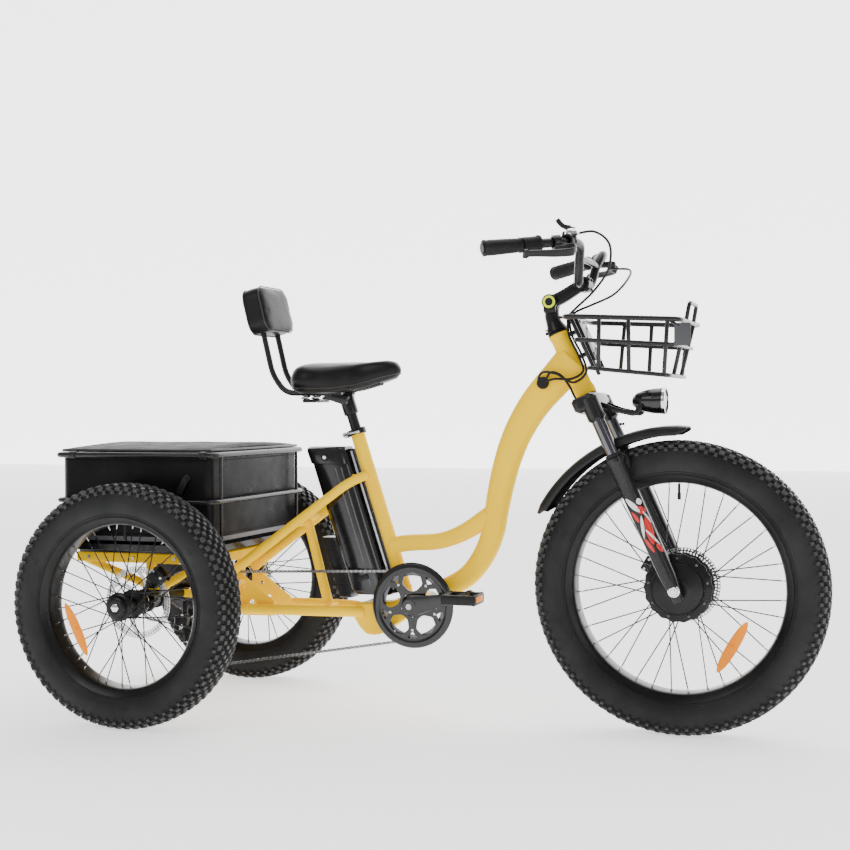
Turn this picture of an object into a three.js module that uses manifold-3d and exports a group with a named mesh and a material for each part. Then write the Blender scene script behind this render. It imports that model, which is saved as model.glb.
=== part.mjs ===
// Adult electric cargo tricycle, in millimetres: +X forward, +Y to the rider's left, +Z up.
// Lengths are set out from the point on the ground under the rear axle; the whole assembly is then
// moved back so that the origin is the centre of its footprint on the ground.
import * as THREE from 'three';
import { mergeVertices } from 'three/addons/utils/BufferGeometryUtils.js';
import Module from 'manifold-3d';

const wasm = await Module();
wasm.setup();

// ---- Driving dimensions ----
const FRONT_R = 352; // 24 x 4.0 fat tyre
const REAR_R = 302; // 20 x 4.0 fat tyre
const TYRE_HALF = 50;
const WHEELBASE = 1303.5;
const TRACK = 698;
const GAP = 0.4; // clearance between touching pieces
const TIDY = 0.03; // slivers thinner than this are taken out of each solid
const WHEEL_SIDES = 28;
const SPOKES = 36;
const SPOKE_R = 1.5;
const ROTOR_R = 90;

const HEAD_TOP = [1010, 0, 963];
const HEAD_TILT = Math.atan2(68, 151); // steering axis leans back from vertical
const HEAD_LENGTH = 165;
const FORK_OFFSET = 16.7; // hub ahead of the steering axis
const HUB_DROP = 677.6; // hub below the head tube's top, along the steering axis
const LEG_Y = 76;

const SEAT_TOP = [473.1, 0, 730];
const SEAT_TILT = Math.atan(0.322);
const SEAT_TUBE_R = 18;
const POST_R = 13.6;

const CRANK = [645, 0, 289];
const CRANK_LENGTH = 160;
const CRANK_Y = 78;
const CRANK_RISE = THREE.MathUtils.degToRad(12); // right arm points forward and a little up
const CHAIN_Y = -50;
const CHAIN_HALF = 3.5;
const CHAINRING_R = 89; // 44 teeth, half-inch pitch
const CASSETTE_R = 52.7; // 26 teeth
const GUARD_R = 108;

const BOX_X = [-238, 188]; // cargo liner
const BOX_Y = 258;
const BOX_Z = [440.5, 672];
const RACK_X = [-248, 200]; // tube rack around the liner
const RACK_Y = 273;
const RACK_ROD = 5;

// ---- Colours and finishes ----
const finish = (color, roughness, metalness) => ({ color, roughness, metalness });
const YELLOW = finish(0xf5c518, 0.35, 0.2);
const BLACK = finish(0x16171a, 0.4, 0.4);
const SATIN = finish(0x1d1e21, 0.6, 0.2);
const RUBBER = finish(0x1a1a1a, 0.9, 0);
const STEEL = finish(0xb9bcc0, 0.3, 1);
const CHROME = finish(0x5d6066, 0.2, 1);
const GLOSS = finish(0x101114, 0.2, 0.1);
const LEATHER = finish(0x17181a, 0.6, 0);

// ---- Solids ----
function solid(geometry) {
  const bare = geometry.index ? geometry.clone() : geometry;
  bare.deleteAttribute('normal');
  bare.deleteAttribute('uv');
  const merged = mergeVertices(bare, 1e-4);
  return new wasm.Manifold(new wasm.Mesh({
    numProp: 3,
    vertProperties: new Float32Array(merged.attributes.position.array),
    triVerts: new Uint32Array(merged.index.array),
  }));
}

const largest = (body) => body.decompose().sort((a, b) => b.volume() - a.volume())[0];
const join = (...solids) => solids.reduce((a, b) => a.add(b));
const cut = (body, ...tools) => tools.reduce((a, b) => a.subtract(b), body);

function geometryOf(body) {
  const mesh = body.simplify(TIDY).getMesh();
  const geometry = new THREE.BufferGeometry();
  geometry.setAttribute('position', new THREE.BufferAttribute(mesh.vertProperties, 3));
  geometry.setIndex(new THREE.BufferAttribute(mesh.triVerts, 1));
  geometry.computeVertexNormals();
  return geometry;
}

// ---- Shapes ----
const vec = (p) => new THREE.Vector3(...p);

function place(geometry, at, turn = [0, 0, 0]) {
  const matrix = new THREE.Matrix4().makeRotationFromEuler(new THREE.Euler(...turn));
  matrix.setPosition(...at);
  geometry.applyMatrix4(matrix);
  return solid(geometry);
}

const box = (size, at, turn) => place(new THREE.BoxGeometry(...size), at, turn);

function rod(a, b, radius, sides = 8, endRadius = radius) {
  const start = vec(a);
  const along = vec(b).sub(start);
  const geometry = new THREE.CylinderGeometry(endRadius, radius, along.length(), sides);
  const upright = new THREE.Vector3(0, 1, 0);
  const turn = new THREE.Quaternion().setFromUnitVectors(upright, along.clone().normalize());
  geometry.applyQuaternion(turn);
  const middle = start.addScaledVector(along, 0.5);
  geometry.translate(middle.x, middle.y, middle.z);
  return solid(geometry);
}

// A path through given points, sampled exactly at them.
class PointPath extends THREE.Curve {
  constructor(points) {
    super();
    this.points = points.map((p) => (p.isVector3 ? p : vec(p)));
  }

  getPoint(t, target = new THREE.Vector3()) {
    const last = this.points.length - 1;
    const place = Math.min(Math.max(t, 0), 1) * last;
    const i = Math.min(Math.floor(place), last - 1);
    return target.lerpVectors(this.points[i], this.points[i + 1], place - i);
  }

  getPointAt(u, target) {
    return this.getPoint(u, target);
  }

  getTangentAt(u, target) {
    return this.getTangent(u, target);
  }
}

function sweep(section, points) {
  const path = new PointPath(points);
  const shape = new THREE.Shape(section.map(([x, y]) => new THREE.Vector2(x, y)));
  return solid(new THREE.ExtrudeGeometry(shape, { steps: points.length - 1, extrudePath: path }));
}

const circle = (radius, sides) => Array.from({ length: sides }, (_, i) => {
  const angle = (2 * Math.PI * (i + 0.5)) / sides;
  return [radius * Math.cos(angle), radius * Math.sin(angle)];
});

const tube = (points, radius, sides = 8) => sweep(circle(radius, sides), points);

function smooth(points, steps) {
  return new THREE.CatmullRomCurve3(points.map(vec), false, 'centripetal').getSpacedPoints(steps);
}

// Straight runs joined by bends of the given radius.
function bent(points, radius, bendSteps = 3) {
  const out = [vec(points[0])];
  for (let i = 1; i < points.length - 1; i += 1) {
    const corner = vec(points[i]);
    const before = vec(points[i - 1]).sub(corner).setLength(radius).add(corner);
    const after = vec(points[i + 1]).sub(corner).setLength(radius).add(corner);
    const bend = new THREE.QuadraticBezierCurve3(before, corner, after);
    out.push(...bend.getPoints(bendSteps));
  }
  out.push(vec(points[points.length - 1]));
  return out;
}

// A closed rectangular ring of rod with rounded corners, made as two overlapping halves.
function ring([x0, x1], halfY, z, radius, corner, frontZ = z, sides = 4) {
  const middle = (x0 + x1) / 2;
  const middleZ = (z + frontZ) / 2;
  const slope = (frontZ - z) / (x1 - x0);
  const half = (x, zEnd, overlap) => bent([
    [middle + overlap, -halfY, middleZ + slope * overlap],
    [x, -halfY, zEnd],
    [x, halfY, zEnd],
    [middle + overlap, halfY, middleZ + slope * overlap],
  ], corner, 2);
  return join(tube(half(x0, z, 2), radius, sides), tube(half(x1, frontZ, -3), radius - 0.1, sides));
}

// Closed profile [radius, y] turned about the Y axis.
function turned(profile, sides) {
  const points = profile.map(([r, y]) => new THREE.Vector2(r, y));
  if (profile[0][0] > 0) {
    points.push(points[0].clone());
  }
  const geometry = new THREE.LatheGeometry(points, sides);
  geometry.rotateY(Math.PI / sides);
  let body = solid(geometry);
  if (body.volume() < 0) {
    const flipped = geometry.clone();
    flipped.index.array.reverse();
    body = solid(flipped);
  }
  return body;
}

// Outline [x, z] in the XZ plane, given a thickness along Y from y0 to y1.
function slab(outline, y0, y1, bevel = 0) {
  const isOutline = Array.isArray(outline);
  const shape = isOutline ? new THREE.Shape(outline.map(([x, z]) => new THREE.Vector2(x, z))) : outline;
  const geometry = new THREE.ExtrudeGeometry(shape, {
    depth: y1 - y0 - 2 * bevel,
    bevelEnabled: bevel > 0,
    bevelThickness: bevel,
    bevelSize: bevel,
    bevelOffset: -bevel,
    bevelSegments: 1,
    curveSegments: 6,
  });
  geometry.rotateX(Math.PI / 2);
  geometry.translate(0, y1 - bevel, 0);
  return solid(geometry);
}

// A closed outline moved sideways: to the left of its direction for a positive distance.
function offsetLoop(points, distance) {
  return points.map((point, i) => {
    const before = points[(i + points.length - 1) % points.length];
    const after = points[(i + 1) % points.length];
    const along = new THREE.Vector2(after[0] - before[0], after[1] - before[1]).normalize();
    return [point[0] - along.y * distance, point[1] + along.x * distance];
  });
}

const disc = (radius, at, y0, y1, sides = 18) => rod([at[0], y0, at[2]], [at[0], y1, at[2]], radius, sides);

// ---- Assembly helpers ----
const trike = new THREE.Group();
trike.position.x = -(WHEELBASE + FRONT_R - REAR_R) / 2;

function add(name, body, look, parent = trike) {
  const material = new THREE.MeshStandardMaterial(look);
  const mesh = new THREE.Mesh(geometryOf(body), material);
  mesh.name = name;
  parent.add(mesh);
  return mesh;
}

function group(at, tiltBack = 0) {
  const made = new THREE.Group();
  made.position.set(...at);
  made.rotation.y = -tiltBack;
  trike.add(made);
  return made;
}

// Position of a point given in a tilted group's own frame.
function fromTilted(origin, tilt, x, z) {
  const [ox, oy, oz] = origin;
  return [ox + x * Math.cos(tilt) - z * Math.sin(tilt), oy, oz + x * Math.sin(tilt) + z * Math.cos(tilt)];
}

// ---- Frame ----
const DOWN_SPINE = [
  [1054, 898], [1014, 864], [951, 794], [907, 723], [880, 656], [860, 580], [849, 523], [840, 474],
  [817, 417], [774, 362], [645, 289],
];

// Side outline of a tube whose depth changes along its spine.
function outlineAlong(spine, steps, halfDepth) {
  const curve = new THREE.SplineCurve(spine.map(([x, z]) => new THREE.Vector2(x, z)));
  const upper = [];
  const lower = [];
  for (let i = 0; i <= steps; i += 1) {
    const t = i / steps;
    const point = curve.getPointAt(t);
    const across = curve.getTangentAt(t).rotateAround(new THREE.Vector2(), Math.PI / 2);
    const half = halfDepth(t);
    upper.push([point.x + across.x * half, point.y + across.y * half]);
    lower.unshift([point.x - across.x * half, point.y - across.y * half]);
  }
  return [...upper, ...lower];
}

const downDepth = (t) => 25 + 20 * (1 - t) ** 1.6;
const downTubeOutline = (grow) => outlineAlong(DOWN_SPINE, 14, (t) => downDepth(t) + grow);
const DOWN_HALF_WIDTH = 29;

const yokeOutline = [
  [472, 244], [508, 203], [549, 207], [620, 252], [645, 267], [645, 311], [622, 307], [588, 293],
  [480, 284]];
const yokeRoom = slab(offsetLoop(yokeOutline, -1.2), -40, 40);

const headAxis = (z) => fromTilted(HEAD_TOP, HEAD_TILT, 0, z);
const headBore = rod(headAxis(5), headAxis(-HEAD_LENGTH - 5), 17.5, 20);
const headShell = join(
  rod(headAxis(0), headAxis(-HEAD_LENGTH), 24, 20, 26),
  rod(headAxis(0), headAxis(-14), 26.5, 20),
  rod(headAxis(-HEAD_LENGTH + 16), headAxis(-HEAD_LENGTH), 28.5, 20),
);
const forkRoom = box([160, 160, 60], headAxis(-HEAD_LENGTH - 30), [0, -HEAD_TILT, 0]);
const bracketRoom = disc(22 + GAP, CRANK, -60, 60, 20);
const downTubeShell = slab(downTubeOutline(0), -DOWN_HALF_WIDTH, DOWN_HALF_WIDTH, 9);
const downTube = cut(downTubeShell, bracketRoom, yokeRoom, forkRoom);
add('head_and_down_tube', largest(cut(join(downTube, headShell), headBore)), YELLOW);

const seatAxis = (z) => fromTilted(SEAT_TOP, SEAT_TILT, 0, z);
const seatTube = cut(
  rod(seatAxis(0), seatAxis(-454), SEAT_TUBE_R, 16),
  rod(seatAxis(5), seatAxis(-262), POST_R + GAP + 0.3, 16),
  yokeRoom,
);
const MID_POINTS = [
  [560, 0, 420], [583, 0, 434], [640, 0, 442], [699, 0, 447], [761, 0, 469], [840, 0, 520],
];
const midTube = cut(
  tube(smooth(MID_POINTS, 9), 20, 10),
  rod(seatAxis(5), seatAxis(-262), POST_R + GAP + 0.3, 16),
  slab(downTubeOutline(GAP), -40, 40),
);
add('seat_and_mid_tube', largest(join(seatTube, midTube)), YELLOW);

const STAY_Y = 68;
const STAY_END = [162, 263];
function chainstay(side) {
  const route = [[500, side * 26, 262], [452, side * 58, 266], [300, side * STAY_Y, 265],
    [STAY_END[0], side * STAY_Y, STAY_END[1]]];
  return tube(bent(route, 26, 2), 13.5, 8);
}
const bracketShell = disc(22, CRANK, -35, 35, 20);
const CROSS_X = 395;
const bracketAndStays = cut(
  join(
    slab(yokeOutline, -30, 30),
    bracketShell,
    chainstay(-1),
    chainstay(1),
    rod([CROSS_X, -STAY_Y, 265], [CROSS_X, STAY_Y, 265], 10, 8),
  ),
  disc(17, CRANK, -60, 60, 20),
);
add('bottom_bracket_and_chainstays', bracketAndStays, YELLOW);

const STAY_LOW = [147, 358];
const STAY_HIGH = [470, 592];
const STAY_SLOPE = (STAY_HIGH[1] - STAY_LOW[1]) / (STAY_HIGH[0] - STAY_LOW[0]);
const onStay = (x) => STAY_LOW[1] + (x - STAY_LOW[0]) * STAY_SLOPE;
function seatStay(side) {
  const route = [[514, side * 14, 618], [STAY_HIGH[0], side * 59, STAY_HIGH[1]],
    [STAY_LOW[0], side * STAY_Y, STAY_LOW[1]]];
  return tube(bent(route, 22, 2), 12, 8);
}
const BRIDGE_X = 330;
const seatStays = cut(
  join(
    seatStay(-1),
    seatStay(1),
    box([46, 2 * 58, 8], [BRIDGE_X, 0, onStay(BRIDGE_X)], [0, -Math.atan(0.72), 0]),
    rod([BRIDGE_X + 6, 0, onStay(BRIDGE_X)], [CROSS_X - 2, 0, 275.6], 12, 10, 13),
  ),
  rod(seatAxis(0), seatAxis(-454), SEAT_TUBE_R + GAP + 0.3, 16),
);
add('seat_stays', seatStays, YELLOW);

// Bolted rear subframe: dropout plates, arms to the axle clamps, side rails and diagonal braces.
const RAIL_Y = 200;
const RAIL_Z = 403;
const RAIL_X = [-226, 165];
const PLATE_Y = 49;
const ARM_Y = 82;
const POST_X = 100;
const plateOutline = [[150, 344], [172, 349], [238, 300], [262, 285], [262, 246], [170, 244], [150, 280]];
function subframeSide(side) {
  return join(
    slab(plateOutline, side * PLATE_Y - 3, side * PLATE_Y + 3),
    box([138, 20, 24], [84, side * ARM_Y, 302]),
    box([18, 46, 24], [147, side * 66, 302]),
    box([20, 14, 100], [POST_X, side * ARM_Y, 352]),
    box([RAIL_X[1] - RAIL_X[0], 25, 25], [(RAIL_X[0] + RAIL_X[1]) / 2, side * RAIL_Y, RAIL_Z]),
    rod([RAIL_X[0] + 16, side * RAIL_Y, RAIL_Z - 6], [-24, side * RAIL_Y, 332], 11, 6),
    rod([RAIL_X[1] - 16, side * RAIL_Y, RAIL_Z - 6], [24, side * RAIL_Y, 332], 11, 6),
    box([64, 30, 20], [0, side * RAIL_Y, 334]),
    box([20, 30, 56], [-14, side * RAIL_Y, 370]),
  );
}
const subframe = join(
  subframeSide(-1),
  subframeSide(1),
  box([25, 2 * RAIL_Y, 25], [RAIL_X[0] + 12.5, 0, RAIL_Z]),
  box([25, 2 * RAIL_Y, 25], [RAIL_X[1] - 12.5, 0, RAIL_Z]),
  box([25, 2 * RAIL_Y, 25], [POST_X, 0, RAIL_Z]),
);
const HOUSING_R = 21;
const REAR_AXLE = [0, 0, REAR_R];
const housingRoom = disc(HOUSING_R + GAP, REAR_AXLE, -280, 280);
const cassetteRoom = disc(60, REAR_AXLE, CHAIN_Y - 16, CHAIN_Y + 16);
add('rear_subframe', cut(subframe, housingRoom, cassetteRoom), YELLOW);

// Axle housing: bearing tubes either side of the differential case, joined by a bridge behind it.
const BEARING_END = 262;
const SHAFT_R = 8.5;
const axleHousing = cut(
  join(
    disc(HOUSING_R, REAR_AXLE, -BEARING_END, CHAIN_Y - 18, 12),
    disc(HOUSING_R, REAR_AXLE, 36, BEARING_END, 12),
    disc(30, REAR_AXLE, -BEARING_END, -BEARING_END + 14, 12),
    disc(30, REAR_AXLE, BEARING_END - 14, BEARING_END, 12),
    box([12, 180, 40], [-70, 0, REAR_R]),
    box([76, 14, 34], [-38, CHAIN_Y - 38, REAR_R]),
    box([76, 14, 34], [-38, 76, REAR_R]),
  ),
  disc(SHAFT_R + 2, REAR_AXLE, -300, 300, 10),
);
add('axle_housing', axleHousing, BLACK);

// ---- Wheels ----
function tyre(outer) {
  const bead = outer - 88;
  return turned([
    [bead, -36.5], [outer - 50, -TYRE_HALF], [outer - 12, -44], [outer, -28],
    [outer, 28], [outer - 12, 44], [outer - 50, TYRE_HALF], [bead, 36.5],
    [bead, 30], [outer - 20, 37], [outer - 20, -37], [bead, -30],
  ].map(([r, y]) => [r / Math.cos(Math.PI / WHEEL_SIDES), y]), WHEEL_SIDES);
}

function rim(outer) {
  const seat = outer - 88.8;
  return turned([
    [seat - 13, -28], [seat - 13, 28], [seat + 6, 42.5], [seat + 6, 40], [seat, 37.6],
    [seat, -37.6], [seat + 6, -40], [seat + 6, -42.5],
  ], WHEEL_SIDES);
}

// Spokes run from either flange in turn to the rim.
function spokes(flangeR, flangeY, rimInner) {
  const reach = (rimInner - 2) * Math.cos(Math.PI / WHEEL_SIDES);
  const laid = [];
  for (let i = 0; i < SPOKES; i += 1) {
    const side = i % 2 === 0 ? 1 : -1;
    const angle = (2 * Math.PI * (i + 0.5)) / SPOKES;
    laid.push(rod(
      [flangeR * Math.cos(angle), side * flangeY, flangeR * Math.sin(angle)],
      [reach * Math.cos(angle), side * 8, reach * Math.sin(angle)],
      SPOKE_R,
      3,
    ));
  }
  return join(...laid);
}

function rotor(y0, y1, arms = 5) {
  const band = turned([[ROTOR_R - 15, y0], [ROTOR_R, y0], [ROTOR_R, y1], [ROTOR_R - 15, y1]], 16);
  const hub = turned([[17, y0], [31, y0], [31, y1], [17, y1]], 12);
  const spider = [];
  for (let i = 0; i < arms; i += 1) {
    const angle = (2 * Math.PI * i) / arms;
    const twist = angle + 0.35;
    const arm = slab([
      [28 * Math.cos(angle - 0.18), 28 * Math.sin(angle - 0.18)],
      [28 * Math.cos(angle + 0.18), 28 * Math.sin(angle + 0.18)],
      [(ROTOR_R - 12) * Math.cos(twist + 0.07), (ROTOR_R - 12) * Math.sin(twist + 0.07)],
      [(ROTOR_R - 12) * Math.cos(twist - 0.07), (ROTOR_R - 12) * Math.sin(twist - 0.07)],
    ], y0, y1);
    spider.push(arm);
  }
  return join(band, hub, ...spider);
}

const AXLE_R = 7;
function hubMotor() {
  const shell = turned([
    [AXLE_R + 1, -46], [28, -46], [60, -37], [66, -25], [82, -22], [82, -16], [74, -13], [74, 13], [82, 16],
    [82, 22], [66, 25], [60, 37], [30, 46], [30, 54], [AXLE_R + 1, 54],
  ], 18);
  const lacing = spokes(79, 19, FRONT_R - 101.8);
  return join(shell, lacing, rotor(53, 55));
}

// Rear hub: outboard is -Y on the right wheel. The boss for the rotor is on the inboard side.
const BOSS_END = 57;
function rearHub(outboard) {
  const profile = [
    [SHAFT_R + 1, -BOSS_END], [24, -BOSS_END], [24, -38], [34, -33], [34, -27], [20, -22], [20, 22], [34, 27],
    [34, 33], [26, 36], [24, 45], [SHAFT_R + 1, 45],
  ];
  const shell = turned(profile.map(([r, y]) => [r, outboard * y]), 16);
  return join(shell, spokes(31, 30, REAR_R - 101.8));
}

const frontWheel = group([WHEELBASE, 0, FRONT_R]);
add('front_tyre', tyre(FRONT_R), RUBBER, frontWheel);
add('front_rim', rim(FRONT_R), BLACK, frontWheel);
add('front_hub_motor', hubMotor(), BLACK, frontWheel);

for (const [name, side] of [['right', -1], ['left', 1]]) {
  const wheel = group([0, (side * TRACK) / 2, REAR_R]);
  add(`${name}_rear_tyre`, tyre(REAR_R), RUBBER, wheel);
  add(`${name}_rear_rim`, rim(REAR_R), BLACK, wheel);
  add(`${name}_rear_hub`, rearHub(side), BLACK, wheel);
  const near = -side * (BOSS_END + GAP);
  const far = -side * (BOSS_END + GAP + 2.2);
  add(`${name}_rear_rotor`, rotor(Math.min(near, far), Math.max(near, far)), STEEL, wheel);
  const inner = side === -1 ? -20 : 4;
  const shaft = turned([
    [0, 0], [SHAFT_R, 0], [SHAFT_R, 394.5 - Math.abs(inner)], [13, 394.5 - Math.abs(inner)],
    [13, 403 - Math.abs(inner)], [0, 403 - Math.abs(inner)],
  ].map(([r, y]) => [r, side * y + inner]), 12);
  add(`${name}_axle_shaft`, shaft, STEEL, group([0, 0, REAR_R]));
}

// ---- Disc calipers: a C-shaped body over the rotor's edge, on an arm ----
function caliper(centre, rotorY, angle, armTo) {
  const reach = ROTOR_R - 4;
  const at = [centre[0] + reach * Math.cos(angle), rotorY, centre[2] + reach * Math.sin(angle)];
  const body = cut(
    box([46, 34, 40], at, [0, -angle, 0]),
    disc(ROTOR_R + 3, [centre[0], 0, centre[2]], rotorY - 3.2, rotorY + 3.2, 32),
  );
  return join(body, rod([at[0], at[1] + Math.sign(armTo[1] - rotorY) * 12, at[2]], armTo, 7, 6));
}

const ROTOR_Y = TRACK / 2 - BOSS_END - GAP - 1.1;
for (const [name, side] of [['right', -1], ['left', 1]]) {
  const arm = [20, side * (BEARING_END - 7), REAR_R + 42];
  const body = caliper([0, 0, REAR_R], side * ROTOR_Y, 0.85, arm);
  const foot = box([40, 12, 18], [14, side * (BEARING_END - 7), REAR_R + 40]);
  add(`${name}_rear_caliper`, join(body, foot), BLACK);
}

// ---- Steered front end, in the steering axis's own frame: +Z up the axis, +X forward of it ----
const steering = group(HEAD_TOP, HEAD_TILT);
const CROWN_TOP = -HEAD_LENGTH - 4;
const SOCKET_END = CROWN_TOP - 71;
const STANCHION_END = -520;
const LOWER_TOP = -335;
const STANCHION_R = 16;
const LOWER_R = 21.5;

const crownOutline = new THREE.Shape();
crownOutline.moveTo(-26, -30);
crownOutline.quadraticCurveTo(-30, 0, -26, 30);
crownOutline.lineTo(FORK_OFFSET - 20, LEG_Y + 20);
crownOutline.lineTo(FORK_OFFSET + 20, LEG_Y + 20);
crownOutline.quadraticCurveTo(34, 0, FORK_OFFSET + 20, -LEG_Y - 20);
crownOutline.lineTo(FORK_OFFSET - 20, -LEG_Y - 20);
const crownGeometry = new THREE.ExtrudeGeometry(crownOutline, {
  depth: 34,
  bevelEnabled: true, bevelThickness: 3, bevelSize: 3, bevelOffset: -3, bevelSegments: 1,
  curveSegments: 4,
});
const legAxis = (side, z) => [FORK_OFFSET, side * LEG_Y, z];
const LAMP = fromTilted([0, 0, 0], -HEAD_TILT, 1236 - HEAD_TOP[0], 797 - HEAD_TOP[2]);
const lampArm = (y) => tube(
  bent([[24, y, CROWN_TOP - 20], [74, y, CROWN_TOP - 20], [LAMP[0] - 26, y, LAMP[2] - 4]], 20, 2), 4, 6,
);
const forkUpper = join(
  rod([0, 0, CROWN_TOP - 10], [0, 0, 2], 14, 12),
  place(crownGeometry, [0, 0, CROWN_TOP - 37]),
  rod(legAxis(-1, CROWN_TOP - 10), legAxis(-1, SOCKET_END), 22, 12),
  rod(legAxis(1, CROWN_TOP - 10), legAxis(1, SOCKET_END), 22, 12),
  rod(legAxis(-1, SOCKET_END + 4), legAxis(-1, STANCHION_END), STANCHION_R, 12),
  rod(legAxis(1, SOCKET_END + 4), legAxis(1, STANCHION_END), STANCHION_R, 12),
  lampArm(-38),
  lampArm(38),
  rod([LAMP[0] - 28, -38, LAMP[2] - 4], [LAMP[0] - 28, -27, LAMP[2] - 4], 4, 6),
  rod([LAMP[0] - 28, 38, LAMP[2] - 4], [LAMP[0] - 28, 27, LAMP[2] - 4], 4, 6),
);
add('fork_crown_and_stanchions', forkUpper, BLACK, steering);

const stanchionRoom = (side) => {
  const foot = legAxis(side, STANCHION_END - 66);
  return rod(legAxis(side, -250), foot, STANCHION_R + 0.7, 12);
};
const AXLE_NUT_Y = LEG_Y + 22;
const archRoute = bent([
  [FORK_OFFSET + 8, -LEG_Y, LOWER_TOP - 14], [FORK_OFFSET + 32, -LEG_Y + 4, LOWER_TOP + 50],
  [FORK_OFFSET + 36, -30, -258], [FORK_OFFSET + 36, 30, -258],
  [FORK_OFFSET + 32, LEG_Y - 4, LOWER_TOP + 50], [FORK_OFFSET + 8, LEG_Y, LOWER_TOP - 14],
], 18, 3);
const lowerLeg = (side) => join(
  rod(legAxis(side, LOWER_TOP), legAxis(side, -HUB_DROP + 24), LOWER_R, 14, LOWER_R - 3),
  box([34, 16, 52], [FORK_OFFSET, side * LEG_Y, -HUB_DROP + 4]),
);
const lowers = join(
  cut(join(lowerLeg(-1), lowerLeg(1)), stanchionRoom(-1), stanchionRoom(1)),
  cut(sweep([[-5, -11], [5, -11], [5, 11], [-5, 11]], archRoute), stanchionRoom(-1), stanchionRoom(1)),
  rod([FORK_OFFSET, -AXLE_NUT_Y, -HUB_DROP], [FORK_OFFSET, AXLE_NUT_Y, -HUB_DROP], AXLE_R, 10),
  rod([FORK_OFFSET, -LEG_Y - 7, -HUB_DROP], [FORK_OFFSET, -AXLE_NUT_Y + 4, -HUB_DROP], 12, 6),
  rod([FORK_OFFSET, LEG_Y + 7, -HUB_DROP], [FORK_OFFSET, AXLE_NUT_Y - 4, -HUB_DROP], 12, 6),
);
add('fork_lowers', lowers, BLACK, steering);

const caliperFoot = [FORK_OFFSET - 26, LEG_Y - 6, -HUB_DROP + 70];
const frontCaliper = caliper([FORK_OFFSET, 0, -HUB_DROP], 54, 2.2, caliperFoot);
const lowerRoom = rod(legAxis(1, LOWER_TOP), legAxis(1, -HUB_DROP), LOWER_R + GAP, 14);
add('front_caliper', largest(cut(frontCaliper, lowerRoom)), BLACK, steering);

// Fender: a shallow channel following the tyre.
const FENDER_R = 388;
const FENDER_ARC = [153, 86.5].map(THREE.MathUtils.degToRad);
const FENDER_STEPS = 12;
const fenderPath = Array.from({ length: FENDER_STEPS + 1 }, (_, i) => {
  const angle = THREE.MathUtils.lerp(FENDER_ARC[0], FENDER_ARC[1], i / FENDER_STEPS);
  return [FENDER_R * Math.cos(angle), 0, FENDER_R * Math.sin(angle)];
});
const crown = (half, rise) => [-1, -0.6, 0, 0.6, 1].map((u) => [u * half, rise * (u * u) ** 1.3]);
const fenderSection = [...crown(56, 22), ...crown(53, 21).reverse().map(([x, y]) => [x, y + 3])];
add('front_fender', sweep(fenderSection, fenderPath), BLACK, group([WHEELBASE, 0, FRONT_R]));

const lampGeometry = new THREE.LatheGeometry([
  [0, -44], [12, -42], [22, -32], [28, -8], [29, 26], [31, 28], [31, 36], [0, 38],
].map(([r, y]) => new THREE.Vector2(r, y)), 16);
const lamp = join(
  place(lampGeometry, [1236, 0, 797], [0, 0, -Math.PI / 2]),
  rod([1216, -26, 786], [1216, 26, 786], 5, 8),
);
add('headlight', lamp, BLACK);

// ---- Stem, handlebar and controls ----
const JOINT = [992, 0, 1041];
const CLAMP = [1072, 0, 1082];
const neckTop = fromTilted(HEAD_TOP, HEAD_TILT, 3, 46);
const stemNeck = cut(
  join(
    rod(headAxis(3), headAxis(24), 26, 12, 20),
    rod(headAxis(20), neckTop, 18, 12),
    rod(neckTop, [JOINT[0], 0, JOINT[2] - 8], 17, 12, 15),
    rod([JOINT[0], -24, JOINT[2]], [JOINT[0], 24, JOINT[2]], 19, 14),
  ),
  rod([JOINT[0], -13, JOINT[2]], [JOINT[0], 13, JOINT[2]], 20.5, 16),
  slab([[JOINT[0], JOINT[2] - 21], [JOINT[0] + 60, JOINT[2] - 21], [JOINT[0] + 60, JOINT[2] + 60],
    [JOINT[0] - 30, JOINT[2] + 60], [JOINT[0] - 30, JOINT[2] + 10]], -13, 13),
);
add('stem_neck', stemNeck, BLACK);

const stemArm = cut(
  join(
    rod([JOINT[0], -12.5, JOINT[2]], [JOINT[0], 12.5, JOINT[2]], 19, 16),
    slab([[JOINT[0] - 8, JOINT[2] + 15], [CLAMP[0] - 8, CLAMP[2] + 16], [CLAMP[0] + 8, CLAMP[2] - 16],
      [JOINT[0] + 12, JOINT[2] - 13]], -12.5, 12.5),
    rod([CLAMP[0], -24, CLAMP[2]], [CLAMP[0], 24, CLAMP[2]], 20, 16),
  ),
  rod([CLAMP[0], -30, CLAMP[2]], [CLAMP[0], 30, CLAMP[2]], 13.2, 12),
);
add('stem_arm', stemArm, BLACK);

const BAR_R = 11.1;
const GRIP_START = [1045, 232, 1160];
const GRIP_END = [918, 330, 1143];
const barHalf = (side) => [
  [CLAMP[0], side * 14, CLAMP[2]], [CLAMP[0], side * 46, CLAMP[2]],
  [CLAMP[0] + 4, side * 66, CLAMP[2] + 6], [1084, side * 92, 1132],
  [1092, side * 122, 1163], [1080, side * 180, 1166], [GRIP_START[0], side * GRIP_START[1], GRIP_START[2]],
];
const barRoute = [...barHalf(-1).reverse(), ...barHalf(1)];
const barBend = smooth(barRoute, 24);
const barEnds = (side) => rod(
  [GRIP_START[0] + 1.3, side * (GRIP_START[1] - 1), GRIP_START[2]],
  [GRIP_END[0] + 6, side * (GRIP_END[1] - 4.6), GRIP_END[2] + 0.8],
  BAR_R - 0.6,
  8,
);
const barRoom = tube(barBend, BAR_R + 0.8, 8);
add('handlebar', join(tube(barBend, BAR_R, 8), barEnds(-1), barEnds(1)), BLACK);

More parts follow.
